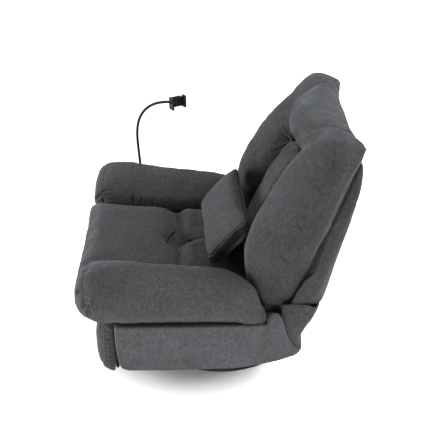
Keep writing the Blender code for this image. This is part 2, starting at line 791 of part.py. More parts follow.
def make_carriage(carriage):
    low = TRACK_BOTTOM + TRACK_HEIGHT + FIT
    rest = CARRIAGE_REST
    block = box(
        "drive_carriage",
        (-TRACK_WIDTH / 2, rest - CARRIAGE_LENGTH / 2, low),
        (TRACK_WIDTH / 2, rest + CARRIAGE_LENGTH / 2, low + CARRIAGE_HEIGHT),
        0.002,
    )
    attach(finish(block, PLASTIC_BLACK, 0.4), carriage)


# Seat stations: (y, underside, top)
SEAT_STATIONS = (
    (SEAT_FRONT, 0.405, 0.452),
    (SEAT_FRONT + 0.012, 0.378, 0.466),
    (SEAT_FRONT + 0.040, 0.352, SEAT_CROWN - 0.003),
    (SEAT_FRONT + 0.085, 0.338, SEAT_CROWN),
    (SEAT_FRONT + 0.197, CUSHION_BOTTOM, 0.483),
    (SEAT_FRONT + 0.290, CUSHION_BOTTOM, 0.472),
    (TUFT_Y - 0.050, CUSHION_BOTTOM, 0.461),
    (TUFT_Y - 0.020, CUSHION_BOTTOM, 0.459),
    (TUFT_Y, CUSHION_BOTTOM, 0.458),
    (TUFT_Y + 0.020, CUSHION_BOTTOM, 0.457),
    (TUFT_Y + 0.050, CUSHION_BOTTOM, 0.456),
    (TUFT_Y + 0.135, CUSHION_BOTTOM, 0.454),
    (SEAT_REAR - 0.070, CUSHION_BOTTOM, 0.448),
    (SEAT_REAR - 0.020, CUSHION_BOTTOM, 0.428),
    (SEAT_REAR, CUSHION_BOTTOM, 0.400),
)
SEAT_HALF = ARM_CENTRE - ARM_HALF_WIDTH - SOFT_GAP


def seat_top(x, y, low, high):
    """Height of the seat's top at x and y, between a station's underside and crown."""
    u = abs(x) / SEAT_HALF
    fall = (0.15 * u**4 + 0.10 * u**16) * (high - low)
    dip = TUFT_DEPTH * groove(math.hypot(x, y - TUFT_Y), 0.042) + 0.012 * groove(y - TUFT_Y, 0.022)
    return high - fall - dip


def make_seat(chassis):
    """The seat cushion: crowned, with a rolled front, a tuft and the cross seam that it sits on."""
    shares = (0.06, 0.13, 0.22, 0.36, 0.52, 0.68, 0.82, 0.92, 0.98)
    columns = [-u for u in shares[::-1]] + [0.0, *shares]
    rings = []
    for y, low, high in smooth_rows(SEAT_STATIONS):
        upper = [(u * SEAT_HALF, y, seat_top(u * SEAT_HALF, y, low, high)) for u in columns]
        edge = [(SEAT_HALF, lerp(low, high, 0.58)), (SEAT_HALF, lerp(low, high, 0.12)), (SEAT_HALF * 0.975, low)]
        right = [(x, y, z) for x, z in edge]
        left = [(-x, y, z) for x, z in edge[::-1]]
        rings.append(upper + right + [(x * SEAT_HALF, y, low) for x in (0.5, 0.0, -0.5)] + left)
    return attach(loft("seat_cushion", rings), chassis)


# Roll stations from the left wing's tip to the middle: inner x and v, outer x and v, height,
# lean of the section down the back, how far the drop behind the board stays inside the outer edge
ROLL_STATIONS = (
    (WING_INNER + 0.034, 0.003, WING_OUTER - 0.036, 0.002, 0.058, -0.42, 0.030),
    (WING_INNER + 0.020, 0.005, WING_OUTER - 0.020, 0.004, 0.084, -0.32, 0.030),
    (WING_INNER + 0.010, 0.011, WING_OUTER - 0.011, 0.010, 0.110, -0.22, 0.032),
    (WING_INNER + 0.004, 0.024, WING_OUTER - 0.007, 0.024, 0.138, -0.12, 0.034),
    (WING_INNER + 0.001, 0.052, WING_OUTER - 0.005, 0.052, 0.168, -0.05, 0.036),
    (WING_INNER, 0.100, WING_OUTER - 0.002, 0.100, 0.205, 0.0, 0.036),
    (WING_INNER, 0.170, WING_OUTER, 0.172, 0.230, 0.0, 0.036),
    (WING_INNER, 0.250, WING_OUTER, 0.262, 0.238, 0.0, 0.036),
    (WING_INNER - 0.002, 0.335, WING_OUTER - 0.004, 0.372, 0.230, 0.0, 0.036),
    (WING_INNER - 0.014, 0.410, WING_OUTER - 0.018, 0.480, 0.216, 0.0, 0.034),
    (WING_INNER - 0.042, 0.456, WING_OUTER - 0.036, 0.590, 0.190, 0.0, 0.026),
    (WING_INNER - 0.080, 0.482, WING_OUTER - 0.058, ROLL_EAR, 0.154, 0.0, 0.012),
    (WING_INNER - 0.125, 0.494, 0.250, ROLL_TOP + 0.010, 0.160, 0.0, 0.034),
    (0.040, 0.499, 0.120, ROLL_TOP, 0.184, 0.0, 0.040),
    (0.000, ARCH_TOP, 0.000, ROLL_TOP, 0.190, 0.0, 0.040),
)


def lip_start(inner, outer):
    """How far along from inner to outer the roll clears the board and may drop behind it."""
    for k in range(101):
        x, v = inner.lerp(outer, k / 100)
        chamfer = (BOARD_HALF - abs(x)) + (BOARD_HIGH - v) - BOARD_CHAMFER
        if abs(x) > BOARD_HALF + LIP_GAP or v > BOARD_HIGH + LIP_GAP or chamfer < -LIP_GAP * 1.3:
            return k / 100
    return 1.0


def make_roll(back):
    """The two wings and the head roll: one stuffed roll bent over the back in an arch."""
    base = BOARD_FRONT + FIT
    lip = BOARD_BACK + FIT
    half = smooth_rows(ROLL_STATIONS)
    mirrored = [(-ix, iv, -ox, ov, *rest) for ix, iv, ox, ov, *rest in half[-2::-1]]
    rings = []
    for ix, iv, ox, ov, height, lean, inset in half + mirrored:
        inner, outer = Vector((ix, iv)), Vector((ox, ov))
        ring = []
        for k in range(11):
            t = math.pi * k / 10
            c, s = math.cos(t), math.sin(t)
            across = 0.5 - 0.5 * power(c, 0.64 if c > 0 else 0.80)
            point = inner.lerp(outer, across)
            lift = height * s ** (0.56 if c > 0 else 0.74)
            ring.append(back_point(point.x, point.y + lean * lift, base + lift))
        step = lip_start(inner, outer)
        reach = max(step + 0.03, 1.0 - inset / (outer - inner).length)
        for share, depth in ((reach, lip), (step + 0.01, lip), (step, base), (step * 0.5, base)):
            point = inner.lerp(outer, share)
            ring.append(back_point(point.x, point.y, depth))
        rings.append(ring)
    return attach(loft("back_roll", rings), back)


def make_inner_back(back):
    """The inner back cushion: a centre pad inside an arched channel."""
    base = BOARD_FRONT + FIT
    shares = (0.20, 0.36, 0.46, 0.54, 0.64, 0.78, 0.92, 1.0)
    columns = [-u for u in shares[::-1]] + [0.0, *shares]
    rim = [(iv, ix) for ix, iv, *_ in smooth_rows(ROLL_STATIONS)]
    stations = (0.036, 0.044, 0.070, 0.120, 0.180, 0.240, 0.300, 0.350, 0.390, 0.425, 0.452, 0.472, 0.484, 0.491)
    depths = ((0.036, 0.085), (0.044, 0.110), (0.070, 0.140), (0.12, 0.162), (0.30, 0.150), (0.42, 0.128), (0.47, 0.095), (0.491, 0.060))
    rings = []
    for v in stations:
        width = table(rim, v) - SOFT_GAP - 0.001
        depth = table(depths, v)
        upper = []
        for u in columns:
            x = u * width
            crown = 1.0 - 0.28 * abs(u) ** 3 - 0.22 * abs(u) ** 12
            channel = 0.024 * groove(abs(x) - 0.115 * width / WING_INNER, 0.020) * min(1.0, depth / 0.1)
            upper.append(back_point(x, v, base + depth * crown - channel))
        lower = [back_point(u * width, v, base) for u in (0.99, 0.5, 0.0, -0.5, -0.99)]
        rings.append(upper + lower)
    return attach(loft("back_cushion", rings), back)


def make_shell(back):
    """The upholstered outside back, deep at its foot and drawn in at its sides."""
    front = BOARD_BACK - FIT
    stations = (
        (SHELL_LOW, 0.084, 0.96),
        (SHELL_LOW + 0.007, 0.100, 0.99),
        (SHELL_LOW + 0.028, 0.109, 1.00),
        (0.150, 0.100, 1.00),
        (0.260, 0.085, 0.99),
        (0.380, 0.072, 0.97),
        (0.480, 0.058, 0.945),
        (0.550, 0.044, 0.91),
        (0.600, 0.027, 0.87),
        (0.625, 0.014, 0.84),
    )
    edge = ((1.0, 0.0), (1.0, 0.45), (0.99, 0.74), (0.955, 0.91), (0.87, 0.98), (0.60, 1.0), (0.20, 1.0))
    profile = [(-u, s) for u, s in edge] + list(edge[::-1])
    rings = []
    for v, deep, share in smooth_rows(stations):
        half = SHELL_HALF * share
        rear = [back_point(u * half, v, front - deep * s) for u, s in profile]
        face = [back_point(u * half, v, front) for u in (0.5, 0.0, -0.5)]
        rings.append(rear + face)
    return attach(loft("back_shell", rings), back)


def make_skirt(chassis):
    """The loose lower outside back that joins the shell to the foot of the body."""
    rail_back = MECH_REAR + 2 * FIT + REAR_RAIL_THICKNESS
    stations = (
        (0.146, rail_back + 0.010, 0.298, 0.80),
        (0.152, rail_back + 0.005, 0.301, 0.84),
        (0.175, rail_back, 0.308, 0.90),
        (0.205, rail_back, 0.316, 0.95),
        (0.250, rail_back, 0.329, 0.99),
        (0.296, rail_back, 0.342, 1.00),
        (0.325, rail_back, 0.350, 1.00),
        (0.345, rail_back, 0.352, 0.99),
        (0.353, rail_back + 0.004, 0.345, 0.97),
    )
    edge = ((1.0, 0.0), (0.988, 0.28), (0.96, 0.52), (0.915, 0.72), (0.84, 0.87), (0.66, 0.97), (0.20, 1.0))
    profile = [(-u, s) for u, s in edge] + list(edge[::-1])
    rings = []
    for z, front, rear, share in smooth_rows(stations):
        half = SKIRT_HALF * share
        ring = [(u * half, lerp(front, rear, s), z) for u, s in profile]
        rings.append(ring + [(u * half, front, z) for u in (0.5, 0.0, -0.5)])
    return attach(loft("back_skirt", rings), chassis)


def make_board(back):
    """The plywood back board, cut across its upper corners."""
    high, side, cut = BOARD_HIGH, BOARD_HALF, BOARD_CHAMFER
    left = [(side, BOARD_LOW), (side, high - cut), (side - cut, high)]
    shape = flat_shape("back_board", left + [(-x, v) for x, v in left[::-1]], BOARD_THICKNESS)
    shape.rotation_euler = (math.pi / 2 - BACK_LEAN, 0, 0)
    shape.location = back_point(0, 0, BOARD_FRONT - BOARD_THICKNESS / 2)
    attach(finish(as_mesh(shape, "back_board"), CHIPBOARD, 0.8), back)


def make_back(back):
    make_board(back)
    middle = BOARD_FRONT - BOARD_THICKNESS / 2
    for label, side in SIDES:
        x_low, x_high = sided(side, BOARD_HALF + FIT, BOARD_HALF + FIT + 0.0037)
        ends = [back_point(0, v, middle)[1:] for v in (0, HINGE_BAR_LENGTH)]
        bar = plate(f"back_hinge_{label}", rounded_hull(ends, HINGE_BAR / 2), x_low, x_high)
        attach(finish(bar, STEEL_BLACK, 0.45, 0.7), back)
    make_roll(back)
    make_inner_back(back)
    make_shell(back)


def pillow_place():
    """Where the pillow's centre stands, with its lower edge on the seat."""
    edge = PILLOW_HEIGHT * math.sin(PILLOW_LEAN) + PILLOW_EDGE * math.cos(PILLOW_LEAN)
    foot_y = PILLOW_Y - PILLOW_HEIGHT * math.cos(PILLOW_LEAN) + PILLOW_EDGE * math.sin(PILLOW_LEAN)
    rows = [(y, high) for y, low, high in smooth_rows(SEAT_STATIONS)]
    return 0, PILLOW_Y, table(rows, foot_y) - PILLOW_SINK + edge


def make_pillow(pillow):
    """The loose lumbar pillow: crowned faces, a boxed edge and drawn-in sides."""
    columns = [-1.0, -0.985, -0.93, -0.78, -0.52, -0.20, 0.20, 0.52, 0.78, 0.93, 0.985, 1.0]
    rings = []
    for v in (-1.0, -0.99, -0.90, -0.68, -0.36, 0.0, 0.36, 0.68, 0.90, 0.99, 1.0):
        ring = []
        for face in (1, -1):
            for u in columns[::face]:
                pull_u = 1.0 - 0.045 * (1 - v * v)
                pull_v = 1.0 - 0.06 * (1 - u**4)
                swell = max(0.0, 1 - abs(u) ** 5) ** 0.5 * max(0.0, 1 - abs(v) ** 5) ** 0.5
                edge = PILLOW_EDGE * (1 - 0.62 * (abs(u) * abs(v)) ** 3)
                thick = edge + (PILLOW_CROWN - PILLOW_EDGE) * swell
                ring.append((u * PILLOW_HALF * pull_u, v * PILLOW_HEIGHT * pull_v, face * thick))
        rings.append(ring)
    form = loft("lumbar_pillow", rings)
    stand = Matrix.Rotation(PILLOW_LEAN, 4, "X")
    form.matrix_world = Matrix.Translation(pillow_place()) @ Matrix.Rotation(PILLOW_YAW, 4, "Z") @ stand
    attach(form, pillow)


def make_link(name, points, layer, empty):
    for label, side in SIDES:
        outline = rounded_hull([forward(p) for p in points], LINK_RADIUS)
        bar = plate(f"{name}_{label}", outline, *sided(side, *link_layer(layer)))
        attach(finish(bar, STEEL_BLACK, 0.4, 0.8), empty)


def make_footrest(swing, reach, guide, tilt, ottoman):
    make_link("swing_link", (SWING_PIVOT, SWING_END, TILT_PIVOT), 1, swing)
    make_link("reach_link", (SWING_END, REACH_END, GUIDE_END), 2, reach)
    make_link("guide_link", (GUIDE_PIVOT, GUIDE_END), 1, guide)
    make_link("tilt_link", (TILT_PIVOT, TILT_END), 2, tilt)
    y, z = forward(SWING_PIVOT)
    end = MECH_X + MECH_THICKNESS
    torque = cylinder("footrest_torque_tube", TORQUE_RADIUS, (-end, y, z), (end, y, z), "X", 20)
    attach(finish(torque, ZINC, 0.4, 0.8, True), swing)
    board_back = -(PAD_BACK - OTTOMAN_BOARD)
    for label, side in SIDES:
        centres = [forward(REACH_END), forward(TILT_END)]
        edge = board_back + FIT + LINK_RADIUS
        centres += [(edge, PAD_BOTTOM + 0.060), (edge, REACH_END[1])]
        bracket = plate(f"ottoman_bracket_{label}", rounded_hull(centres, LINK_RADIUS), *sided(side, *link_layer(3)))
        attach(finish(bracket, STEEL_BLACK, 0.4, 0.8), ottoman)
    half = OTTOMAN_BOARD_HALF
    board = box(
        "ottoman_board",
        (-half, -PAD_BACK + FIT, PAD_BOTTOM + 0.020),
        (half, board_back, PAD_TOP - 0.016),
    )
    attach(finish(board, CHIPBOARD, 0.8), ottoman)
    attach(make_pad(), ottoman)


def make_pad():
    """The footrest pad: a shallow boxy roll with a flat back."""
    rings = []
    middle, tall = (PAD_TOP + PAD_BOTTOM) / 2, (PAD_TOP - PAD_BOTTOM) / 2
    shares = (0.22, 0.45, 0.68, 0.86, 0.95, 0.985, 1.0)
    for u in [-s for s in shares[::-1]] + [0.0, *shares]:
        swell = max(0.0, 1 - abs(u) ** 14) ** 0.5
        deep = 0.034 + (PAD_DEPTH - 0.034) * swell
        trim = 0.012 * (1 - swell)
        ring = []
        for k in range(15):
            t = math.pi * k / 14
            z = middle + (tall - trim) * power(math.cos(t), 0.55)
            ring.append((u * PAD_HALF, -PAD_BACK - deep * abs(math.sin(t)) ** 0.62, z))
        ring += [(u * PAD_HALF, -PAD_BACK, middle + (tall - trim) * s) for s in (-0.5, 0.0, 0.5)]
        rings.append(ring)
    return loft("footrest_pad", rings)


def make_controls(chassis, buttons):
    face = -PANEL_OUTER - FIT
    deep, long, tall = ESCUTCHEON
    frame = box(
        "control_panel",
        (face - deep, PANEL_Y - long / 2, PANEL_Z - tall / 2),
        (face, PANEL_Y + long / 2, PANEL_Z + tall / 2),
        0.0015,
    )
    attach(finish(frame, PLASTIC_BLACK, 0.45), chassis)
    for k, (name, empty) in enumerate(buttons):
        y = PANEL_Y + (k - 0.5) * BUTTON_PITCH
        thick, wide, high = BUTTON
        well = box(
            name + "_well",
            (face - deep - 0.01, y - wide / 2 - BUTTON_GAP, PANEL_Z - high / 2 - BUTTON_GAP),
            (face + 0.01, y + wide / 2 + BUTTON_GAP, PANEL_Z + high / 2 + BUTTON_GAP),
            collection=cutters,
        )
        boolean(frame, well, "DIFFERENCE")
        low_x = face - deep - BUTTON_PROUD
        button = box(name, (low_x, y - wide / 2, PANEL_Z - high / 2), (face - BUTTON_BACK, y + wide / 2, PANEL_Z + high / 2))
        attach(finish(button, ZINC, 0.35, 0.3), empty)


def make_phone_holder(chassis, neck_body, clamp_body, jaw_body):
    top = NECK_BOTTOM + SOCKET_HEIGHT - 0.020
    socket = box(
        "phone_socket",
        (NECK_X - 0.012, NECK_Y - 0.016, NECK_BOTTOM - 0.020),
        (-PANEL_OUTER - FIT, NECK_Y + 0.016, top),
        0.0025,
    )
    bore = cylinder(
        "socket_bore", NECK_RADIUS + SOCKET_GAP, (NECK_X, NECK_Y, NECK_BOTTOM - FIT), (NECK_X, NECK_Y, top + 0.02), sides=24
    )
    boolean(socket, bore, "DIFFERENCE")
    attach(finish(socket, PLASTIC_BLACK, 0.5), chassis)
    tip = Vector(CLAMP_TIP)
    route = [
        (NECK_X, NECK_Y, NECK_BOTTOM),
        (NECK_X, NECK_Y, 0.360),
        (NECK_X, NECK_Y, 0.440),
        (NECK_X + 0.0015, NECK_Y - 0.002, 0.531),
        (NECK_X + 0.0060, NECK_Y - 0.007, 0.613),
        (NECK_X + 0.0125, NECK_Y - 0.009, 0.697),
        (NECK_X + 0.0180, NECK_Y + 0.002, 0.762),
        (tip.x - 0.0055, NECK_Y + 0.031, tip.z - 0.036),
        (tip.x - 0.0020, NECK_Y + 0.071, tip.z - 0.009),
        (tip.x, NECK_Y + 0.111, tip.z),
        tuple(tip),
    ]
    path = smooth_path([Vector(p) for p in route], 3)
    neck = tube("phone_gooseneck", path, NECK_RADIUS, 3)
    attach(finish(neck, PLASTIC_BLACK, 0.35, smooth=True), neck_body)
    back_y = tip.y + FIT
    cheek = CLAMP_THICKNESS
    turn = Matrix.Translation(tip) @ Matrix.Rotation(CLAMP_YAW, 4, "Z") @ Matrix.Translation(-tip)
    low_z, high_z = tip.z - CLAMP_HEIGHT * 0.72, tip.z + CLAMP_HEIGHT * 0.28
    knob = cylinder("phone_clamp", 0.009, (tip.x, back_y, tip.z), (tip.x, back_y + 0.015, tip.z), "Y", 24)
    block = box(
        "clamp_cheek",
        (tip.x - CLAMP_LIP, back_y + 0.008, low_z),
        (tip.x + CLAMP_LIP, back_y + 0.008 + cheek, high_z),
    )
    spine = box(
        "clamp_spine",
        (tip.x - CLAMP_LIP + 0.001, back_y + 0.0095, low_z + 0.004),
        (tip.x - CLAMP_LIP + cheek, back_y + 0.008 + CLAMP_WIDTH, high_z - 0.001),
    )
    for piece in (block, spine):
        piece.matrix_basis = turn @ piece.matrix_basis
        boolean(knob, piece, "UNION")
    attach(finish(knob, PLASTIC_BLACK, 0.4), clamp_body)
    jaw_x = tip.x - CLAMP_LIP + cheek + FIT
    end_y = back_y + FIT + 0.014 + CLAMP_WIDTH
    jaw = box("phone_clamp_jaw", (jaw_x, end_y - 0.036, low_z + 0.006), (jaw_x + 0.005, end_y + CLAMP_LIP_THICKNESS - 0.002, high_z - 0.003))
    lip = box("jaw_lip", (jaw_x, end_y, low_z + 0.003), (tip.x + CLAMP_LIP, end_y + CLAMP_LIP_THICKNESS, high_z + 0.003))
    for piece in (jaw, lip):
        piece.matrix_basis = turn @ piece.matrix_basis
    boolean(jaw, lip, "UNION")
    attach(finish(jaw, PLASTIC_BLACK, 0.4), jaw_body)


def axis_at(name, point, parent):
    y, z = forward(point)
    return empty_at(name, (0, y, z), parent)


def build():
    root = empty_at("recliner", (0, 0, 0))
    base = empty_at("base", (0, 0, 0), root)
    turntable = empty_at("turntable_axis", (0, 0, 0), base)
    chassis = empty_at("rock_axis", (0, 0, ROCK_Z), turntable)
    back = empty_at("recline_axis", BACK_HINGE, chassis)
    pillow = empty_at("pillow_rest", pillow_place(), back)
    swing = axis_at("footrest_axis", SWING_PIVOT, chassis)
    reach = axis_at("reach_axis", SWING_END, swing)
    guide = axis_at("guide_axis", GUIDE_PIVOT, chassis)
    tilt = axis_at("tilt_axis", TILT_PIVOT, swing)
    ottoman = axis_at("ottoman_axis", REACH_END, reach)
    carriage = empty_at("carriage_slide", (0, CARRIAGE_REST, TRACK_BOTTOM + TRACK_HEIGHT), chassis)
    buttons = [
        (name, empty_at(name + "_travel", (-PANEL_OUTER, PANEL_Y, PANEL_Z), chassis))
        for name in ("button_open", "button_close")
    ]
    neck = empty_at("neck_axis", (NECK_X, NECK_Y, NECK_BOTTOM), chassis)
    clamp = empty_at("clamp_axis", CLAMP_TIP, neck)
    jaw = empty_at("jaw_slide", CLAMP_TIP, clamp)
    make_base(base)
    make_turntable(turntable)
    make_chassis(chassis)
    make_seat(chassis)
    make_skirt(chassis)
    make_back(back)
    make_pillow(pillow)
    make_footrest(swing, reach, guide, tilt, ottoman)
    make_carriage(carriage)
    make_controls(chassis, buttons)
    make_phone_holder(chassis, neck, clamp, jaw)
    for cutter in cutters.objects:
        attach(cutter, root)
    root.location = (ORIGIN_X, ORIGIN_Y, 0)


build()
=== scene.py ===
# Power recliner: plush upholstery, steel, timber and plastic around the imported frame

import math
import random

import bmesh
import bpy
import numpy as np
from mathutils import Matrix, Vector, noise
from mathutils.bvhtree import BVHTree


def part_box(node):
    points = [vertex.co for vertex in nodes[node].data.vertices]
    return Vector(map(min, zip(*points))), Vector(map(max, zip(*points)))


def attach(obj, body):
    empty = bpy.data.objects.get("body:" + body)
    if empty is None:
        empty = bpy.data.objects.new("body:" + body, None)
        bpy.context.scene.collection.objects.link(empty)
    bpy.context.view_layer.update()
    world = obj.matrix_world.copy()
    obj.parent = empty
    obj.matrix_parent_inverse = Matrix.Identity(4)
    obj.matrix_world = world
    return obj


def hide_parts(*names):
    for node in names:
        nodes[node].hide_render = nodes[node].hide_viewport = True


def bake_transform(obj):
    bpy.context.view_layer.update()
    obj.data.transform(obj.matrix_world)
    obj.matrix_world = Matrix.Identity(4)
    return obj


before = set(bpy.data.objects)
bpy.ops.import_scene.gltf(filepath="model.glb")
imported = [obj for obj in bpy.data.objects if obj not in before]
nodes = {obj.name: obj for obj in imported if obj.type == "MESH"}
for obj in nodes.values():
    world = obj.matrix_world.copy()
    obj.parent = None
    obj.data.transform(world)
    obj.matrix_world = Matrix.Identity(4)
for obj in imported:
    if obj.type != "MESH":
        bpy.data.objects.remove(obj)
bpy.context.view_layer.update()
print("frame loaded")

ringMiddle = Vector((0.01525, 0.02273, 0.0))  # the ring base's centre, where the chair's own measures start
backLean = math.radians(22)
backFoot = (0.22, 0.36)  # y and z of the point where the back's own measures start


def chair(x, y, z):
    return Vector((x, y, z)) + ringMiddle


def onBack(x, up, out):  # a point given up the leaning back and out towards the sitter
    y = backFoot[0] + up * math.sin(backLean) - out * math.cos(backLean)
    return chair(x, y, backFoot[1] + up * math.cos(backLean) + out * math.sin(backLean))


# Camera and the photograph's frame

photo = {
    "place": chair(3.1296, -0.097, 2.274),
    "aim": chair(0.0, -0.002, 0.533),
    "focal": 892.0,
    "width": 440.0,
    "middle": (219.9, 220.1),
    "sensor": 36.0,
}
photoTurn = (photo["aim"] - photo["place"]).to_track_quat("-Z", "Y")


def makeCamera():
    data = bpy.data.cameras.new("photoCamera")
    data.sensor_width = photo["sensor"]
    data.lens = photo["focal"] / photo["width"] * photo["sensor"]
    camera = bpy.data.objects.new("photoCamera", data)
    camera.location = photo["place"]
    camera.rotation_euler = photoTurn.to_euler()
    bpy.context.scene.collection.objects.link(camera)
    bpy.context.scene.camera = camera


makeCamera()
print("camera set")


# Mesh work

cover = {  # how the cloth covers are blown up
    "frames": 12, "quality": 4, "stiffness": 12.0, "bending": 0.6, "smoothing": 3,
    "fullness": 0.5,  # average rise, as a share of a piece's cap
}


def newPiece(name, mesh):
    piece = bpy.data.objects.new(name, mesh)
    bpy.context.scene.collection.objects.link(piece)
    return piece


def pieceFrom(name, bm):
    mesh = bpy.data.meshes.new(name)
    bm.to_mesh(mesh)
    bm.free()
    return newPiece(name, mesh)


def readEach(items, key, width, kind):
    flat = np.empty(len(items) * width, kind)
    items.foreach_get(key, flat)
    return flat.reshape(-1, width)


def readPoints(piece):
    return readEach(piece.data.vertices, "co", 3, np.float32).astype(float)


def writePoints(piece, points):
    piece.data.vertices.foreach_set("co", points.astype(np.float32).ravel())
    piece.data.update()


def readNormals(piece):
    return readEach(piece.data.vertex_normals, "vector", 3, np.float32).astype(float)


def readEdges(piece):
    return readEach(piece.data.edges, "vertices", 2, np.int32)


def applyModifiers(piece):
    graph = bpy.context.evaluated_depsgraph_get()
    mesh = bpy.data.meshes.new_from_object(piece.evaluated_get(graph), depsgraph=graph)
    piece.modifiers.clear()
    piece.data = mesh


def relax(piece, times, inflate=0.53):  # smooths without shrinking: each step in is followed by one out
    points, pairs = readPoints(piece), readEdges(piece)
    size = len(points)
    count = np.maximum(np.bincount(pairs.ravel(), minlength=size), 1)[:, None]
    a, b = pairs[:, 0], pairs[:, 1]
    for _ in range(times):
        for share in (0.5, -inflate):
            sums = [np.bincount(a, points[b, k], size) + np.bincount(b, points[a, k], size) for k in range(3)]
            points += share * (np.stack(sums, 1) / count - points)
    writePoints(piece, points)


def swell(piece, height):
    writePoints(piece, readPoints(piece) + readNormals(piece) * height)


def smoothShade(piece):
    piece.data.polygons.foreach_set("use_smooth", np.ones(len(piece.data.polygons), bool))
    piece.data.update()


def softCopy(name, node, measures):  # the CAD solid with even faces and soft edges
    bm = bmesh.new()
    bm.from_mesh(nodes[node].data)
    bmesh.ops.remove_doubles(bm, verts=bm.verts, dist=1e-5)
    piece = pieceFrom(name, bm)
    remesh = piece.modifiers.new("voxels", "REMESH")
    remesh.mode = "VOXEL"
    remesh.voxel_size = measures["voxel"]
    applyModifiers(piece)
    relax(piece, measures["smoothing"])
    swell(piece, -measures["inset"])
    return piece


def puff(piece, measures):  # the cover is blown up as cloth, and no point moves further than the cap
    cap = measures["cap"]
    before, outward = readPoints(piece), readNormals(piece)
    cloth = piece.modifiers.new("cover", "CLOTH")
    settings = cloth.settings
    settings.use_pressure = True
    settings.uniform_pressure_force = measures["pressure"]
    settings.effector_weights.gravity = 0
    settings.quality = cover["quality"]
    settings.tension_stiffness = cover["stiffness"]
    settings.compression_stiffness = cover["stiffness"]
    settings.bending_stiffness = cover["bending"]
    cloth.point_cache.frame_start = 1
    cloth.point_cache.frame_end = cover["frames"]
    for step in range(1, cover["frames"] + 1):
        bpy.context.scene.frame_set(step)
    applyModifiers(piece)
    bpy.context.scene.frame_set(1)
    move = readPoints(piece) - before
    length = np.linalg.norm(move, axis=1)[:, None] + 1e-9
    after = before + move / length * cap * np.tanh(length / cap)
    writePoints(piece, after)
    relax(piece, cover["smoothing"])
    swell(piece, cap * cover["fullness"] - float(((after - before) * outward).sum(1).mean()))


def finer(piece):
    subdivision = piece.modifiers.new("finer", "SUBSURF")
    subdivision.levels = subdivision.render_levels = 1
    applyModifiers(piece)


def treeOf(piece):
    return BVHTree.FromPolygons(
        [v.co.copy() for v in piece.data.vertices], [tuple(p.vertices) for p in piece.data.polygons]
    )


def spread(points, gap):  # evenly spaced points along a smooth line through the given ones
    given = [Vector(p) for p in points]
    ends = [given[0] * 2 - given[1], *given, given[-1] * 2 - given[-2]]
    found = []
    for i in range(1, len(ends) - 2):
        a, b, c, d = ends[i - 1 : i + 3]
        pieces = max(2, int((c - b).length / gap))
        for k in range(pieces):
            t = k / pieces
            curve = 2 * b + (c - a) * t + (2 * a - 5 * b + 4 * c - d) * t**2 + (3 * b - a - 3 * c + d) * t**3
            found.append(0.5 * curve)
    return found + [given[-1]]


def fromPhoto(tree, pixels):  # where rays through the photograph's pixels meet a surface
    found = []
    for u, v, _ in spread([(u, v, 0) for u, v in pixels], 1.5):
        ray = Vector(((u - photo["middle"][0]) / photo["focal"], (photo["middle"][1] - v) / photo["focal"], -1))
        hit = tree.ray_cast(photo["place"], photoTurn @ ray.normalized())[0]
        if hit:
            found.append(hit)
    return found


def onto(tree, points, gap=0.008):
    return [tree.find_nearest(p)[0] for p in spread(points, gap)]


def mirrored(points):
    return [Vector((2 * ringMiddle.x - p.x, p.y, p.z)) for p in points]


def carve(piece, strokes):  # each stroke: path, width, depth, and how it fades along its length
    points, normals = readPoints(piece), readNormals(piece)
    move = np.zeros(len(points))
    for path, width, depth, fade in strokes:
        if len(path) < 2:
            continue
        path = np.array([tuple(p) for p in path])
        reach = 4.5 * width
        inside = ((points > path.min(0) - reach) & (points < path.max(0) + reach)).all(1)
        near = np.where(inside)[0]
        if not len(near):
            continue
        lengths = np.maximum(np.linalg.norm(np.diff(path, axis=0), axis=1), 1e-6)
        total, start = lengths.sum(), 0.0
        best, where = np.full(len(near), 9.0), np.zeros(len(near))
        for a, b, length in zip(path[:-1], path[1:], lengths):
            along = np.clip(((points[near] - a) @ (b - a)) / length**2, 0, 1)
            gap = np.linalg.norm(points[near] - a - along[:, None] * (b - a), axis=1)
            closer = gap < best
            best[closer] = gap[closer]
            where[closer] = (start + along[closer] * length) / total
            start += length
        strength = {
            "both": np.clip(np.sin(np.pi * where), 0, 1) ** 0.6,
            "away": np.clip(1 - where, 0, 1) ** 0.8,
            "even": np.ones(len(near)),
        }[fade]
        groove = -np.exp(-((best / width) ** 2))
        lips = 0.32 * np.exp(-(((best - 2.0 * width) / (1.1 * width)) ** 2))
        move[near] += strength * depth * (groove + lips)
    writePoints(piece, points + normals * move[:, None])


def between(values, start, end):  # rises smoothly from 0 to 1
    share = np.clip((np.asarray(values) - start) / (end - start), 0, 1)
    return share * share * (3 - 2 * share)


def drag(piece, centre, radius, move):  # a soft pull on the points around a centre
    points = readPoints(piece)
    away = np.linalg.norm(points - np.array(centre), axis=1) / radius
    points += np.clip(1 - away**2, 0, 1)[:, None] ** 2 * np.array(move)
    writePoints(piece, points)


def dragSide(piece, side, place, pull):  # a pull given for the left side (1), or turned over for the right (-1)
    (x, *rest), radius, (across, *way) = pull
    drag(piece, place(side * x, *rest), radius, (side * across, *way))


def rumple(piece, size, height, seed):
    points, normals = readPoints(piece), readNormals(piece)
    shift = Vector((seed * 3.7, seed * 1.9, seed * 5.3))
    waves = []
    for p in points:
        place = Vector(p) / size
        waves.append(noise.noise(place + shift) + 0.5 * noise.noise(place * 2.3 + shift))
    writePoints(piece, points + normals * (np.array(waves) * height)[:, None])


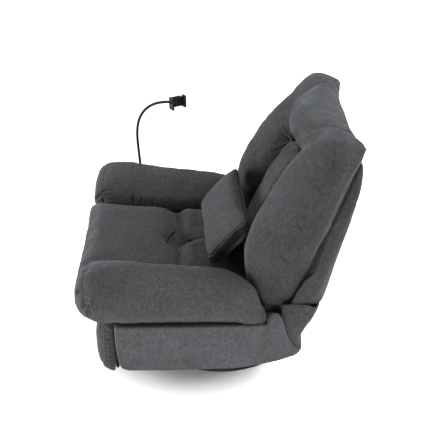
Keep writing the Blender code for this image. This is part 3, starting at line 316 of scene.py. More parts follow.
def gathers(tree, seam, towards, count, length, width, depth, seed):  # short creases that run off a seam
    dice = random.Random(seed)
    line = spread(seam, 0.004)
    found = []
    for i in range(count):
        share = (i + 0.5 + dice.uniform(-0.3, 0.3)) / count
        start = line[min(len(line) - 1, int(share * len(line)))]
        way = Vector(towards).normalized() + Vector([dice.uniform(-0.25, 0.25) for _ in range(3)])
        reach = length * dice.uniform(0.6, 1.2)
        path = [tree.find_nearest(start + way * reach * k / 5)[0] for k in range(6)]
        found.append((path, width * dice.uniform(0.8, 1.2), depth * dice.uniform(0.6, 1.2), "away"))
    return found


def photoCreases(tree, marks, fade, farShare=0.0):  # creases at the photograph's pixels, and the same on the far side
    strokes = []
    for pixels, width, depth in marks:
        path = fromPhoto(tree, pixels)
        strokes.append((path, width, depth, fade))
        if farShare:
            farPath = onto(tree, mirrored(path)) if len(path) > 1 else path
            strokes.append((farPath, width, depth * farShare, fade))
    return strokes


def keepClear(piece, others, gap, reach=0.03):  # lifts points out of the solids beside a piece
    points = readPoints(piece)
    for other in others:
        tree = treeOf(other)
        low, high = readPoints(other).min(0) - gap, readPoints(other).max(0) + gap
        for i in np.where(((points > low) & (points < high)).all(1))[0]:
            p = Vector(points[i])
            place, normal, _, away = tree.find_nearest(p, reach)
            if place is not None and (p - place).dot(normal) < gap and (away < gap or (p - place).dot(normal) < 0):
                points[i] = place + normal * gap
    writePoints(piece, points)


def tubeAlong(name, points, radius, sides=8, closed=True):
    count = len(points)
    bm = bmesh.new()
    rings = []
    up = Vector((0.3, 0.2, 0.93)).normalized()
    for i, p in enumerate(points):
        ahead = points[(i + 1) % count] if closed or i + 1 < count else p
        behind = points[i - 1] if closed or i else p
        way = (ahead - behind).normalized()
        across = way.cross(up).normalized()
        over = across.cross(way)
        ring = []
        for k in range(sides):
            turn = 2 * math.pi * k / sides
            ring.append(bm.verts.new(p + (across * math.cos(turn) + over * math.sin(turn)) * radius))
        rings.append(ring)
    for i in range(count if closed else count - 1):
        a, b = rings[i], rings[(i + 1) % count]
        for k in range(sides):
            bm.faces.new((a[k], a[(k + 1) % sides], b[(k + 1) % sides], b[k]))
    if not closed:
        bm.faces.new(rings[0][::-1])
        bm.faces.new(rings[-1])
    bmesh.ops.recalc_face_normals(bm, faces=bm.faces)
    return pieceFrom(name, bm)


# Materials

plushLook = {
    "cloudScale": 7, "cloudRange": 0.11, "napScale": 80, "napRange": 0.13, "fibreScale": 330, "fibreRange": 0.23,
    "streakScale": 34, "streakStretch": (9, 9, 0.6), "overlay": 0.75, "streakOverlay": 0.5,
    "tint": (0.96, 1.0, 1.05),
    "surface": {
        "Roughness": 0.94, "Specular IOR Level": 0.12, "Sheen Weight": 0.16, "Sheen Roughness": 0.40,
        "Sheen Tint": (0.78, 0.84, 0.90, 1),
    },
}


def newMaterial(name):
    material = bpy.data.materials.new(name)
    material.use_nodes = True
    tree = material.node_tree
    return material, tree, tree.nodes["Principled BSDF"]


def setInputs(node, values):
    for key, value in values.items():
        node.inputs[key].default_value = value


def placed(tree, stretch=(1, 1, 1)):
    coordinates = tree.nodes.new("ShaderNodeTexCoord")
    mapping = tree.nodes.new("ShaderNodeMapping")
    mapping.inputs["Scale"].default_value = stretch
    tree.links.new(coordinates.outputs["Object"], mapping.inputs["Vector"])
    return mapping.outputs["Vector"]


def noiseOf(tree, scale, detail=3.0, stretch=(1, 1, 1), roughness=0.5):
    node = tree.nodes.new("ShaderNodeTexNoise")
    setInputs(node, {"Scale": scale, "Detail": detail, "Roughness": roughness})
    tree.links.new(placed(tree, stretch), node.inputs["Vector"])
    return node.outputs["Fac"]


def rampOf(tree, source, stops):
    ramp = tree.nodes.new("ShaderNodeValToRGB")
    for element, (place, colour) in zip(ramp.color_ramp.elements, stops):
        element.position = place
        element.color = (*colour, 1)
    tree.links.new(source, ramp.inputs["Fac"])
    return ramp.outputs["Color"]


def greyRamp(tree, source, low, high, edges=(0.3, 0.7)):  # a noise turned into greys from low to high
    return rampOf(tree, source, [(edges[0], (low,) * 3), (edges[1], (high,) * 3)])


def mixed(tree, kind, share, a, b):
    node = tree.nodes.new("ShaderNodeMix")
    node.data_type = "RGBA"
    node.blend_type = kind
    node.inputs["Factor"].default_value = share
    tree.links.new(a, node.inputs["A"])
    tree.links.new(b, node.inputs["B"])
    return node.outputs["Result"]


def bumped(tree, shader, layers):
    last = None
    for source, strength, distance in layers:
        bump = tree.nodes.new("ShaderNodeBump")
        setInputs(bump, {"Strength": strength, "Distance": distance})
        tree.links.new(source, bump.inputs["Height"])
        if last:
            tree.links.new(last, bump.inputs["Normal"])
        last = bump.outputs["Normal"]
    tree.links.new(last, shader.inputs["Normal"])


def plushGrey(value):
    return tuple(value * t for t in plushLook["tint"])


def plushCloth(name, level, streaks=0.10):
    material, tree, shader = newMaterial(name)
    look = plushLook
    dark, light = plushGrey(level * (1 - look["cloudRange"])), plushGrey(level * (1 + look["cloudRange"]))
    clouds = rampOf(tree, noiseOf(tree, look["cloudScale"], 4), [(0.32, dark), (0.68, light)])
    nap = greyRamp(tree, noiseOf(tree, look["napScale"], 4), 0.5 - look["napRange"], 0.5 + look["napRange"])
    fibres = greyRamp(tree, noiseOf(tree, look["fibreScale"], 3), 0.5 - look["fibreRange"], 0.5 + look["fibreRange"])
    marks = noiseOf(tree, look["streakScale"], 3, look["streakStretch"])
    brushed = greyRamp(tree, marks, 0.5 - streaks, 0.5 + streaks)
    colour = mixed(tree, "OVERLAY", look["overlay"], clouds, nap)
    colour = mixed(tree, "OVERLAY", look["overlay"], colour, fibres)
    colour = mixed(tree, "OVERLAY", look["streakOverlay"], colour, brushed)
    tree.links.new(colour, shader.inputs["Base Color"])
    setInputs(shader, look["surface"])
    softFolds = (noiseOf(tree, 34, 3), 0.40, 0.0026)
    brushMarks = (noiseOf(tree, 26, 2, (12, 12, 1)), 0.20, 0.0012)
    pile = (noiseOf(tree, 260, 3), 0.55, 0.0012)
    bumped(tree, shader, [softFolds, brushMarks, pile])
    return material


def wovenLining(name):
    material, tree, shader = newMaterial(name)
    tree.links.new(greyRamp(tree, noiseOf(tree, 60, 4), 0.010, 0.022), shader.inputs["Base Color"])
    shader.inputs["Roughness"].default_value = 0.95
    bumped(tree, shader, [(noiseOf(tree, 500, 2, (1, 1, 0.2)), 0.5, 0.0005), (noiseOf(tree, 18, 3), 0.4, 0.003)])
    return material


def paintedSteel(name, level, roughness):
    material, tree, shader = newMaterial(name)
    colour = greyRamp(tree, noiseOf(tree, 35, 5), level * 0.8, level * 1.25, (0.35, 0.65))
    tree.links.new(colour, shader.inputs["Base Color"])
    wear = greyRamp(tree, noiseOf(tree, 90, 3), roughness * 0.85, roughness * 1.15)
    tree.links.new(wear, shader.inputs["Roughness"])
    shader.inputs["Specular IOR Level"].default_value = 0.12
    bumped(tree, shader, [(noiseOf(tree, 650, 2), 0.25, 0.0003)])
    return material


def brushedMetal(name, level, stretch):
    material, tree, shader = newMaterial(name)
    colour = greyRamp(tree, noiseOf(tree, 40, 4, stretch), level * 0.85, level * 1.1)
    tree.links.new(colour, shader.inputs["Base Color"])
    wear = greyRamp(tree, noiseOf(tree, 60, 3, stretch), 0.26, 0.42)
    tree.links.new(wear, shader.inputs["Roughness"])
    shader.inputs["Metallic"].default_value = 1.0
    bumped(tree, shader, [(noiseOf(tree, 220, 2, stretch), 0.2, 0.0002)])
    return material


def poplarWood(name, along):  # along: the axis that the grain follows
    material, tree, shader = newMaterial(name)
    stretch = tuple(0.12 if k == along else 1.0 for k in range(3))
    grain = noiseOf(tree, 60, 6, stretch, 0.6)
    rings = tree.nodes.new("ShaderNodeTexWave")
    setInputs(rings, {"Scale": 6, "Distortion": 7, "Detail": 3})
    tree.links.new(placed(tree, stretch), rings.inputs["Vector"])
    wood = rampOf(tree, grain, [(0.3, (0.36, 0.24, 0.13)), (0.7, (0.55, 0.41, 0.25))])
    shade = greyRamp(tree, rings.outputs["Fac"], 0.42, 0.56, (0.2, 0.8))
    tree.links.new(mixed(tree, "OVERLAY", 0.6, wood, shade), shader.inputs["Base Color"])
    shader.inputs["Roughness"].default_value = 0.72
    bumped(tree, shader, [(grain, 0.3, 0.0006)])
    return material


def mouldedPlastic(name, level, roughness):
    material, tree, shader = newMaterial(name)
    colour = greyRamp(tree, noiseOf(tree, 50, 3), level * 0.85, level * 1.15)
    tree.links.new(colour, shader.inputs["Base Color"])
    setInputs(shader, {"Roughness": roughness, "Specular IOR Level": 0.22})
    bumped(tree, shader, [(noiseOf(tree, 1400, 2), 0.3, 0.0002)])
    return material


plush = plushCloth("darkGreyPlush", 0.056)
# a darker copy of the plush for the inner back: painted shade for its recess
plushInnerPaintedShade = plushCloth("darkGreyPlushPaintedShade", 0.046)
# a lighter copy of the plush for the side panels: painted light on the low sides
plushSidePaintedLight = plushCloth("darkGreyPlushPaintedLight", 0.079, 0.08)
piping = plushCloth("plushPiping", 0.046)
# the pillow's band is the same plush made almost black: painted shade for the dark hollow between pillow, wing and
# arm
pillowBandPaintedShade = plushCloth("pillowBandPaintedShadeCloth", 0.010)
lining = wovenLining("blackLining")
blackSteel = paintedSteel("blackPowderCoat", 0.010, 0.5)
platedSteel = brushedMetal("zincPlate", 0.50, (1, 1, 0.1))
springSteel = brushedMetal("springWire", 0.26, (1, 1, 1))
poplarLong = poplarWood("poplarLengthways", 1)
blackPlastic = mouldedPlastic("blackPlastic", 0.008, 0.6)
buttonPlastic = mouldedPlastic("buttonPlastic", 0.030, 0.28)
softBlack = mouldedPlastic("softBlackSleeve", 0.006, 0.7)


def dress(piece, material):
    piece.data.materials.clear()
    piece.data.materials.append(material)


def both(*stems):  # the left and the right node of each pair
    return [stem + side for stem in stems for side in ("_left", "_right")]


kept = (
    (blackSteel, [
        "base_ring", "base_cross", "swivel_plate", "front_cross_tube", "rear_cross_tube", "drive_track",
        *both("rocker_stand", "mechanism_plate", "back_hinge"),
    ]),
    (platedSteel, [
        "footrest_torque_tube", *both("swing_link", "reach_link", "guide_link", "tilt_link", "ottoman_bracket"),
    ]),
    (springSteel, ["seat_spring_wire"]),
    (poplarLong, both("rocker_cam")),
    (lining, ["seat_frame", "rear_rail", "ottoman_board", "back_board", *both("arm_frame")]),
    (blackPlastic, [
        "base_glide_1", "base_glide_2", "base_glide_3", "base_glide_4", "swivel_race", "drive_motor",
        "drive_carriage", "power_inlet", "control_panel", "phone_socket", "phone_clamp", "phone_clamp_jaw",
    ]),
    (buttonPlastic, ["button_open", "button_close"]),
    (softBlack, ["phone_gooseneck"]),
)
for material, names in kept:
    for name in names:
        dress(nodes[name], material)
print("frame finished")


def settle(piece, body, node, material):
    smoothShade(piece)
    dress(piece, material)
    if node:
        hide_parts(node)
    if body:
        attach(piece, body)
    return piece


# Seat cushion: a dimple where a cross seam and a lengthwise seam meet

seat = {
    "voxel": 0.007, "smoothing": 12, "inset": 0.005, "pressure": 4.0, "cap": 0.010,
    "half": 0.29, "top": 0.47, "tuftY": -0.175, "rise": 0.012, "riseFrom": 0.30, "riseTo": 0.54,
    "crossLine": (-0.29, -0.15, 0.0, 0.15, 0.29), "rearLine": (0, 0.09, 0.18, 0.26),
    "frontLine": (-0.27, -0.1, 0.1, 0.27),
    "stitch": (0.0044, 0.0095), "crossValley": (0.026, 0.010), "rearValley": (0.022, 0.008),
    "pulls": (
        ([(175.0, 244.0), (170.0, 239.4), (161.8, 236.5), (153.0, 237.5)], 0.0095, 0.0030),
        ([(173.3, 240.5), (165.3, 232.5), (156.0, 227.5)], 0.0100, 0.0024),
        ([(175.5, 248.0), (166.0, 254.0), (156.0, 258.0)], 0.0080, 0.0026),
        ([(180.5, 245.5), (187.0, 243.0), (196.0, 243.5)], 0.0060, 0.0024),
    ),
    "sidePulls": ((1, 0.22, -0.07), (-1, -0.22, -0.06), (-1, -0.23, 0.05)),
}


def makeSeat():
    piece = softCopy("seatCushion", "seat_cushion", seat)
    puff(piece, seat)
    points = readPoints(piece)
    upper = between(points[:, 2], 0.38, 0.44)
    points[:, 2] += between(-points[:, 1], seat["riseFrom"], seat["riseTo"]) * upper * seat["rise"]
    writePoints(piece, points)
    y, top = seat["tuftY"], seat["top"]
    drag(piece, chair(0, y, 0.470), 0.110, (0, 0, -0.014))
    drag(piece, chair(0, y, 0.456), 0.035, (0, 0, -0.008))
    finer(piece)
    tree = treeOf(piece)
    cross = onto(tree, [chair(x, y, top) for x in seat["crossLine"]])
    rear = onto(tree, [chair(0, y + back, top) for back in seat["rearLine"]])
    front = onto(tree, [chair(x, -0.545, 0.425) for x in seat["frontLine"]])
    strokes = [(cross, *seat["stitch"], "even"), (rear, *seat["stitch"], "even")]
    strokes += [(cross, *seat["crossValley"], "even"), (rear, *seat["rearValley"], "even")]
    strokes.append((front, 0.0035, 0.004, "even"))
    strokes += photoCreases(tree, seat["pulls"], "away")
    for side, endX, back in seat["sidePulls"]:
        startX = side * seat["half"]
        middle = chair((startX + endX) / 2, (y + y + back) / 2, top)
        pull = onto(tree, [chair(startX, y, top), middle, chair(endX, y + back, top)])
        strokes.append((pull, 0.005, 0.004, "away"))
    carve(piece, strokes)
    rumple(piece, 0.060, 0.0024, 1)
    settle(piece, "chassis", "seat_cushion", plush)


makeSeat()
print("seat cushion made")


# Padded arms

arms = {
    "voxel": 0.007, "smoothing": 12, "inset": 0.005, "pressure": 4.0, "cap": 0.009,
    "middle": 0.402, "reach": 0.10, "frontSeam": -0.500, "seamWidth": 0.11, "seamHeight": 0.13, "seamMiddle": 0.455,
    "rearLift": ((0.425, 0.120, 0.470), 0.130, (0, 0.034, 0.018)),
    "rearFoot": ((0.480, 0.135, 0.350), 0.060, (0, 0.004, 0.012)),
    "underLine": (-0.46, -0.25, -0.05, 0.10),
    # pleats: how many, length, width, depth
    "outerPleats": (6, 0.060, 0.0040, 0.0050), "innerPleats": (4, 0.055, 0.0042, 0.0045),
    "topPleats": (4, 0.045, 0.0040, 0.0030), "rearPleats": (4, 0.05, 0.0055, 0.0035),
    "nearCreases": (
        ([(83.2, 295.6), (83.5, 302.5), (82.9, 309.4)], 0.0046, 0.0097),
        ([(93.5, 296.8), (93.0, 301.4), (91.8, 307.1)], 0.0046, 0.0090),
        ([(88.9, 304.8), (89.5, 309.4), (90.5, 313.0)], 0.0046, 0.0067),
        ([(97.6, 304.8), (97.0, 310.5)], 0.0046, 0.0053),
        ([(103.3, 306.0), (103.3, 311.7)], 0.0052, 0.0037),
        ([(75.7, 296.8), (77.5, 292.2), (79.8, 288.7)], 0.0040, 0.0075),
    ),
    "farCreases": (
        ([(91.8, 204.9), (96.4, 199.2), (101.6, 194.0)], 0.0046, 0.0090),
        ([(132.9, 194.0), (132.9, 204.5)], 0.0046, 0.0060),
        ([(141.2, 196.5), (141.2, 204.5)], 0.0052, 0.0045),
        ([(152.0, 199.0), (153.0, 207.0)], 0.0057, 0.0033),
    ),
}


def makeArm(side, name, node):
    piece = softCopy(name, node, arms)
    puff(piece, arms)
    dragSide(piece, side, chair, arms["rearLift"])
    dragSide(piece, side, chair, arms["rearFoot"])
    finer(piece)
    tree = treeOf(piece)
    middle, front = side * arms["middle"], arms["frontSeam"]
    outer = middle + side * arms["reach"]
    loop = []
    for k in range(13):  # the seam round the arm's front end
        turn = math.pi * (k / 12 * 1.7 - 0.35)
        x = middle + arms["seamWidth"] * math.cos(turn)
        loop.append(chair(x, front, arms["seamMiddle"] + arms["seamHeight"] * math.sin(turn)))
    seam = onto(tree, loop)
    strokes = [(seam, 0.0030, 0.0016, "even"), (seam, 0.014, 0.0016, "even")]
    edge = [chair(middle + side * 0.105, front, 0.36), chair(middle + side * 0.11, front, 0.50)]
    strokes += gathers(tree, edge, (0, 1, 0.15), *arms["outerPleats"], seed=3)
    edge = [chair(middle - side * 0.105, front, 0.38), chair(middle - side * 0.10, front, 0.53)]
    strokes += gathers(tree, edge, (0, 1, 0.1), *arms["innerPleats"], seed=4)
    edge = [chair(middle - 0.05, front, 0.56), chair(middle + 0.06, front, 0.56)]
    strokes += gathers(tree, edge, (0, 1, 0), *arms["topPleats"], seed=5)
    under = onto(tree, [chair(outer, y, 0.352) for y in arms["underLine"]])
    strokes.append((under, 0.005, 0.003, "even"))
    edge = [chair(outer, -0.02, 0.356), chair(outer, 0.12, 0.356)]
    strokes += gathers(tree, edge, (0, -0.5, 0.9), *arms["rearPleats"], seed=6)
    strokes += photoCreases(tree, arms["nearCreases"] if side > 0 else arms["farCreases"], "both")
    carve(piece, strokes)
    rumple(piece, 0.065, 0.0022, 2 + side)
    return settle(piece, "chassis", node, plush)


armLeft = makeArm(1, "armLeft", "arm_left")
armRight = makeArm(-1, "armRight", "arm_right")
print("arms made")


# Head roll and side wings, sewn as one arch

roll = {
    "voxel": 0.008, "smoothing": 16, "inset": 0.006, "pressure": 4.0, "cap": 0.012, "clearOfArms": 0.0015,
    "wingTip": ((0.380, 0.175, 0.368), 0.100, (0.008, -0.004, -0.020)),
    "wingFront": ((0.370, 0.110, 0.430), 0.090, (0.004, -0.012, -0.010)),
    "innerCorner": ((0.190, 0.455, 0.200), 0.075, (-0.006, -0.016, -0.010)),
    "nearEar": ((0.340, 0.700, 0.060), 0.120, (-0.016, -0.008, -0.014)),
    "nearEarTip": ((0.385, 0.705, 0.010), 0.085, (-0.006, -0.004, -0.022)),
    "farEar": ((0.300, 0.690, 0.100), 0.140, (-0.004, -0.002, 0.010)),
    "valley": [(290.8, 144.0), (297.0, 136.0), (309.0, 129.5), (329.4, 126.5), (350.0, 131.5)],
    "nearValley": (0.016, 0.0035), "farValley": (0.020, 0.0080),
    "rearPleats": (
        ([(341.5, 101.8), (334.2, 100.0), (328.2, 100.6)], 0.0050, 0.0030),
        ([(343.7, 108.5), (335.5, 105.1), (328.8, 105.5)], 0.0055, 0.0033),
        ([(346.4, 117.0), (337.3, 112.4), (329.4, 111.5)], 0.0055, 0.0039),
        ([(348.2, 124.2), (339.1, 119.4), (331.8, 118.2)], 0.0055, 0.0036),
        ([(350.0, 131.5), (339.1, 127.9), (329.4, 125.5)], 0.0060, 0.0066),
        ([(360.9, 143.6), (352.4, 141.2), (346.4, 138.8)], 0.0050, 0.0030),
        ([(333.0, 89.1), (325.8, 83.0), (320.9, 80.0)], 0.0050, 0.0033),
        ([(335.5, 80.6), (329.4, 75.8), (325.8, 73.9)], 0.0045, 0.0027),
        ([(338.0, 86.0), (332.0, 79.5), (327.0, 76.5)], 0.0045, 0.0024),
    ),
    "cornerFolds": (
        ([(289.5, 138.8), (284.5, 135.2), (279.1, 132.7)], 0.0050, 0.0065),
        ([(288.8, 132.7), (284.5, 126.1), (282.7, 121.2)], 0.0050, 0.0055),
        ([(289.4, 141.0), (279.7, 142.4), (272.4, 143.6)], 0.0055, 0.0050),
        ([(287.0, 145.5), (278.0, 150.0), (271.0, 153.0)], 0.0060, 0.0040),
        ([(281.0, 153.0), (274.0, 160.0), (268.0, 164.0)], 0.0060, 0.0025),
    ),
    "wingCreases": (
        ([(314.8, 183.6), (320.0, 190.0), (324.5, 197.0)], 0.0066, 0.0053),
        ([(296.7, 222.4), (303.9, 228.5)], 0.0066, 0.0045),
        ([(296.4, 224.8), (303.6, 230.9)], 0.0055, 0.0037),
        ([(279.4, 253.9), (290.3, 262.4)], 0.0066, 0.0045),
        ([(274.5, 275.8), (283.0, 283.0)], 0.0066, 0.0042),
        ([(271.0, 286.0), (279.0, 294.0)], 0.0066, 0.0037),
        ([(243.8, 272.0), (246.0, 278.0)], 0.0044, 0.0060),
        ([(330.0, 160.0), (335.0, 168.0), (337.0, 176.0)], 0.0077, 0.0045),
    ),
}


def makeRoll():
    piece = softCopy("backRoll", "back_roll", roll)
    puff(piece, roll)
    for side in (-1, 1):
        dragSide(piece, side, chair, roll["wingTip"])
        dragSide(piece, side, chair, roll["wingFront"])
        dragSide(piece, side, onBack, roll["innerCorner"])
    dragSide(piece, 1, onBack, roll["nearEar"])
    dragSide(piece, 1, onBack, roll["nearEarTip"])
    dragSide(piece, -1, onBack, roll["farEar"])
    keepClear(piece, (armLeft, armRight), roll["clearOfArms"])
    finer(piece)
    tree = treeOf(piece)
    valley = fromPhoto(tree, roll["valley"])
    strokes = [(valley, *roll["nearValley"], "both"), (onto(tree, mirrored(valley)), *roll["farValley"], "both")]
    strokes += photoCreases(tree, roll["rearPleats"], "away", 0.8)
    strokes += photoCreases(tree, roll["cornerFolds"], "away", 0.9)
    strokes += photoCreases(tree, roll["wingCreases"], "both", 1.0)
    carve(piece, strokes)
    rumple(piece, 0.075, 0.0026, 5)
    settle(piece, "back", "back_roll", plush)


makeRoll()
print("head roll and wings made")


# The back's own directions, for pieces that are reshaped up or out of it

backStart = np.array(onBack(0, 0, 0))
upWay = np.array(onBack(0, 1, 0)) - backStart
outWay = np.array(onBack(0, 0, 1)) - backStart


# Inner back cushion with sewn channels

innerBack = {
    "voxel": 0.007, "smoothing": 10, "inset": 0.004, "pressure": 4.0, "cap": 0.010,
    "fuller": 0.015, "wider": 1.07, "lower": 0.030,
    "channelX": 0.072, "channelUp": (0.06, 0.16, 0.26, 0.36, 0.46), "face": 0.12,
    "outerPleats": (9, 0.055, 0.0045, 0.0045), "innerPleats": (8, 0.045, 0.0045, 0.0040),
}


def makeInnerBack():
    piece = softCopy("innerBack", "back_cushion", innerBack)
    puff(piece, innerBack)
    points = readPoints(piece) - backStart
    up, out = points @ upWay, points @ outWay
    points += (between(out, 0.04, 0.09) * innerBack["fuller"])[:, None] * outWay
    points -= ((1 - between(up, 0.06, 0.22)) * innerBack["lower"])[:, None] * upWay
    points[:, 0] *= innerBack["wider"]
    writePoints(piece, points + backStart)
    finer(piece)
    tree = treeOf(piece)
    strokes, face = [], innerBack["face"]
    for side in (-1, 1):
        channel = onto(tree, [onBack(side * innerBack["channelX"], up, face) for up in innerBack["channelUp"]])
        strokes += [(channel, 0.004, 0.009, "even"), (channel, 0.015, 0.008, "even")]
    for side in (-1, 1):
        edge = [onBack(side * 0.075, 0.10, face), onBack(side * 0.075, 0.44, face)]
        strokes += gathers(tree, edge, (side, 0, 0.35), *innerBack["outerPleats"], seed=8 + side)
        edge = [onBack(side * 0.068, 0.12, face), onBack(side * 0.068, 0.44, face)]
        strokes += gathers(tree, edge, (-side, 0, 0.30), *innerBack["innerPleats"], seed=11 + side)
    carve(piece, strokes)
    rumple(piece, 0.060, 0.0012, 7)
    settle(piece, "back", "back_cushion", plushInnerPaintedShade)


makeInnerBack()
print("inner back made")


# Outer shell of the back, flared at the foot to meet the skirt

shell = {
    "voxel": 0.007, "smoothing": 12, "inset": 0.003, "pressure": 3.0, "cap": 0.007,
    "flare": 0.053, "edgeForward": 0.032, "edgeDown": 0.034,
    "seamX": 0.22, "seamUp": (0.06, 0.2, 0.35, 0.5, 0.6), "topLine": (-0.215, -0.1, 0, 0.1, 0.215), "rearFace": -0.14,
    "sidePleats": (7, 0.06, 0.0055, 0.0026),
}


def makeShell():
    piece = softCopy("backShell", "back_shell", shell)
    puff(piece, shell)
    points = readPoints(piece) - backStart
    up, out = points @ upWay, points @ outWay
    side = np.abs(points[:, 0])
    low = 1 - between(up, 0.10, 0.36)
    fore = between(out, -0.125, -0.045)
    points[:, 0] += np.sign(points[:, 0]) * low * (0.30 + 0.70 * fore) * between(side, 0.22, 0.40) * shell["flare"]
    edge = between(np.abs(points[:, 0]), 0.396, 0.410) * between(out, -0.085, -0.035)
    points += (edge * low * shell["edgeForward"])[:, None] * outWay
    points -= (edge * (1 - between(up, 0.05, 0.16)) * shell["edgeDown"])[:, None] * upWay
    writePoints(piece, points + backStart)
    relax(piece, 3)
    finer(piece)
    tree = treeOf(piece)
    strokes, face = [], shell["rearFace"]
    for side in (-1, 1):
        seam = onto(tree, [onBack(side * shell["seamX"], up, face) for up in shell["seamUp"]])
        strokes += [(seam, 0.0032, 0.0040, "even"), (seam, 0.012, 0.002, "even")]
    top = onto(tree, [onBack(x, 0.46, face) for x in shell["topLine"]])
    strokes.append((top, 0.0032, 0.0035, "even"))
    for side in (-1, 1):
        edge = [onBack(side * 0.225, 0.12, face), onBack(side * 0.225, 0.56, -0.12)]
        strokes += gathers(tree, edge, (side, 0, -0.1), *shell["sidePleats"], seed=14 + side)
    carve(piece, strokes)
    rumple(piece, 0.080, 0.0012, 8)
    settle(piece, "back", "back_shell", plush)


makeShell()
print("back shell made")


# Side panels

panels = {"voxel": 0.005, "smoothing": 3, "inset": 0.0005, "crown": 0.005}


def makePanel(side, name, node):
    piece = softCopy(name, node, panels)
    points, normals = readPoints(piece), readNormals(piece)
    low, high = points.min(0), points.max(0)
    outward = np.clip(normals[:, 0] * side, 0, 1)
    share = (points - low) / (high - low)
    hill = np.clip(4 * share * (1 - share), 0, 1)
    points[:, 0] += side * outward * hill[:, 1] ** 0.35 * hill[:, 2] ** 0.45 * panels["crown"]
    writePoints(piece, points)
    rumple(piece, 0.110, 0.0006, 9 + side)
    settle(piece, "chassis", node, plushSidePaintedLight)


makePanel(1, "sidePanelLeft", "side_panel_left")
makePanel(-1, "sidePanelRight", "side_panel_right")
print("side panels made")


# Skirt behind the seat

skirt = {
    "heights": (0.150, 0.175, 0.205, 0.236, 0.250, 0.270, 0.303, 0.336, 0.368, 0.390, 0.415),
    "halves": (0.380, 0.410, 0.440, 0.466, 0.467, 0.466, 0.463, 0.456, 0.447, 0.441, 0.424),
    "fronts": (0.287, 0.287, 0.287, 0.2865, 0.2695, 0.251, 0.2335, 0.2255, 0.2175, 0.214, 0.212),
    "rears": (0.295, 0.302, 0.309, 0.316, 0.321, 0.330, 0.345, 0.360, 0.371, 0.375, 0.378),
    "powers": (1.6, 1.6, 1.5, 1.35, 1.7, 2.2, 3.1, 4.2, 5.2, 5.6, 5.6),  # how square each level's corners are
    "sideEdges": (0.238, 0.412), "rearEdges": (0.152, 0.384),  # lower and upper edge, at the sides and behind
    "thickness": 0.007, "cord": 0.0022, "across": 120, "rows": 26, "cordSteps": 30,
    "rearPleats": (22, 0.07, 0.0050, 0.0022), "sidePleats": (3, 0.05, 0.0060, 0.0022),
}


def skirtPoint(turn, height):  # turn runs from the left front edge round the back to the right one
    half, front, rear, power = (
        float(np.interp(height, skirt["heights"], skirt[key])) for key in ("halves", "fronts", "rears", "powers")
    )
    c, s = math.cos(turn), math.sin(turn)
    y = front + (rear - front) * abs(s) ** (2 / power)
    return chair(half * math.copysign(abs(c) ** (2 / power), c), y, height)


def skirtLine(k, steps):  # one upright line of the skirt, from its lower edge to its upper one
    turn = math.pi * k / skirt["across"]
    inward = float(between(min(turn, math.pi - turn), 0.0, 0.75))
    low, high = (a + (b - a) * inward for a, b in zip(skirt["sideEdges"], skirt["rearEdges"]))
    return [skirtPoint(turn, low + (high - low) * i / steps) for i in range(steps + 1)]


def bendWithBack(piece):
    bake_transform(piece)


def makeSkirt():
    bm = bmesh.new()
    columns = [[bm.verts.new(p) for p in skirtLine(k, skirt["rows"])] for k in range(skirt["across"] + 1)]
    for a, b in zip(columns[:-1], columns[1:]):
        for i in range(skirt["rows"]):
            bm.faces.new((a[i], b[i], b[i + 1], a[i + 1]))
    bmesh.ops.recalc_face_normals(bm, faces=bm.faces)
    piece = pieceFrom("backSkirt", bm)
    outward, points = readNormals(piece), readPoints(piece)
    if (outward * (points - points.mean(0))).sum() < 0:
        piece.data.flip_normals()
    wadding = piece.modifiers.new("wadding", "SOLIDIFY")
    wadding.thickness = skirt["thickness"]
    applyModifiers(piece)
    finer(piece)
    tree = treeOf(piece)
    edge = [chair(-0.40, 0.345, 0.345), chair(0.40, 0.345, 0.345)]
    strokes = gathers(tree, edge, (0, 0.1, -1), *skirt["rearPleats"], seed=21)
    for side in (-1, 1):
        edge = [chair(side * 0.45, 0.24, 0.350), chair(side * 0.44, 0.33, 0.350)]
        strokes += gathers(tree, edge, (0, 0.2, -1), *skirt["sidePleats"], seed=22)
    carve(piece, strokes)
    rumple(piece, 0.070, 0.0012, 10)
    settle(piece, None, "back_skirt", plush)
    bendWithBack(piece)
    for end, label in ((0, "Left"), (skirt["across"], "Right")):
        line = skirtLine(end, skirt["cordSteps"])
        cord = tubeAlong("skirtPiping" + label, line, skirt["cord"], closed=False)
        settle(cord, None, None, piping)
        bendWithBack(cord)


makeSkirt()
print("skirt made")


# Footrest pad

footPad = {
    "voxel": 0.006, "smoothing": 8, "inset": 0.004, "pressure": 4.0, "cap": 0.008, "rear": -0.418,
    "rimHeights": (0.100, 0.15, 0.20, 0.25, 0.297), "middleLine": (-0.37, -0.2, 0, 0.2, 0.37),
    "facePleats": (9, 0.050, 0.0045, 0.0045), "edgePleats": (8, 0.022, 0.0034, 0.0060),
}


def makeFootPad():
    piece = softCopy("footrestPad", "footrest_pad", footPad)
    puff(piece, footPad)
    points = readPoints(piece)
    points[:, 1] = np.minimum(points[:, 1], ringMiddle.y + footPad["rear"])
    writePoints(piece, points)
    relax(piece, 2)
    finer(piece)
    tree = treeOf(piece)
    strokes = []
    for side in (-1, 1):
        rim = onto(tree, [chair(side * 0.395, -0.442, z) for z in footPad["rimHeights"]])
        strokes.append((rim, 0.0035, 0.0020, "even"))
        edge = [chair(side * 0.385, -0.47, 0.10), chair(side * 0.385, -0.47, 0.30)]
        strokes += gathers(tree, edge, (-side, 0, 0), *footPad["facePleats"], seed=25 + side)
        edge = [chair(side * 0.398, -0.430, 0.11), chair(side * 0.398, -0.430, 0.29)]
        strokes += gathers(tree, edge, (0, -1, 0), *footPad["edgePleats"], seed=28 + side)
    middle = onto(tree, [chair(x, -0.49, 0.20) for x in footPad["middleLine"]])
    strokes += [(middle, 0.0040, 0.0060, "both"), (middle, 0.015, 0.004, "both")]
    carve(piece, strokes)
    rumple(piece, 0.070, 0.0012, 12)
    settle(piece, "ottoman", "footrest_pad", plush)


makeFootPad()
print("footrest pad made")


# Loose lumbar pillow with a boxed band between two piped edges

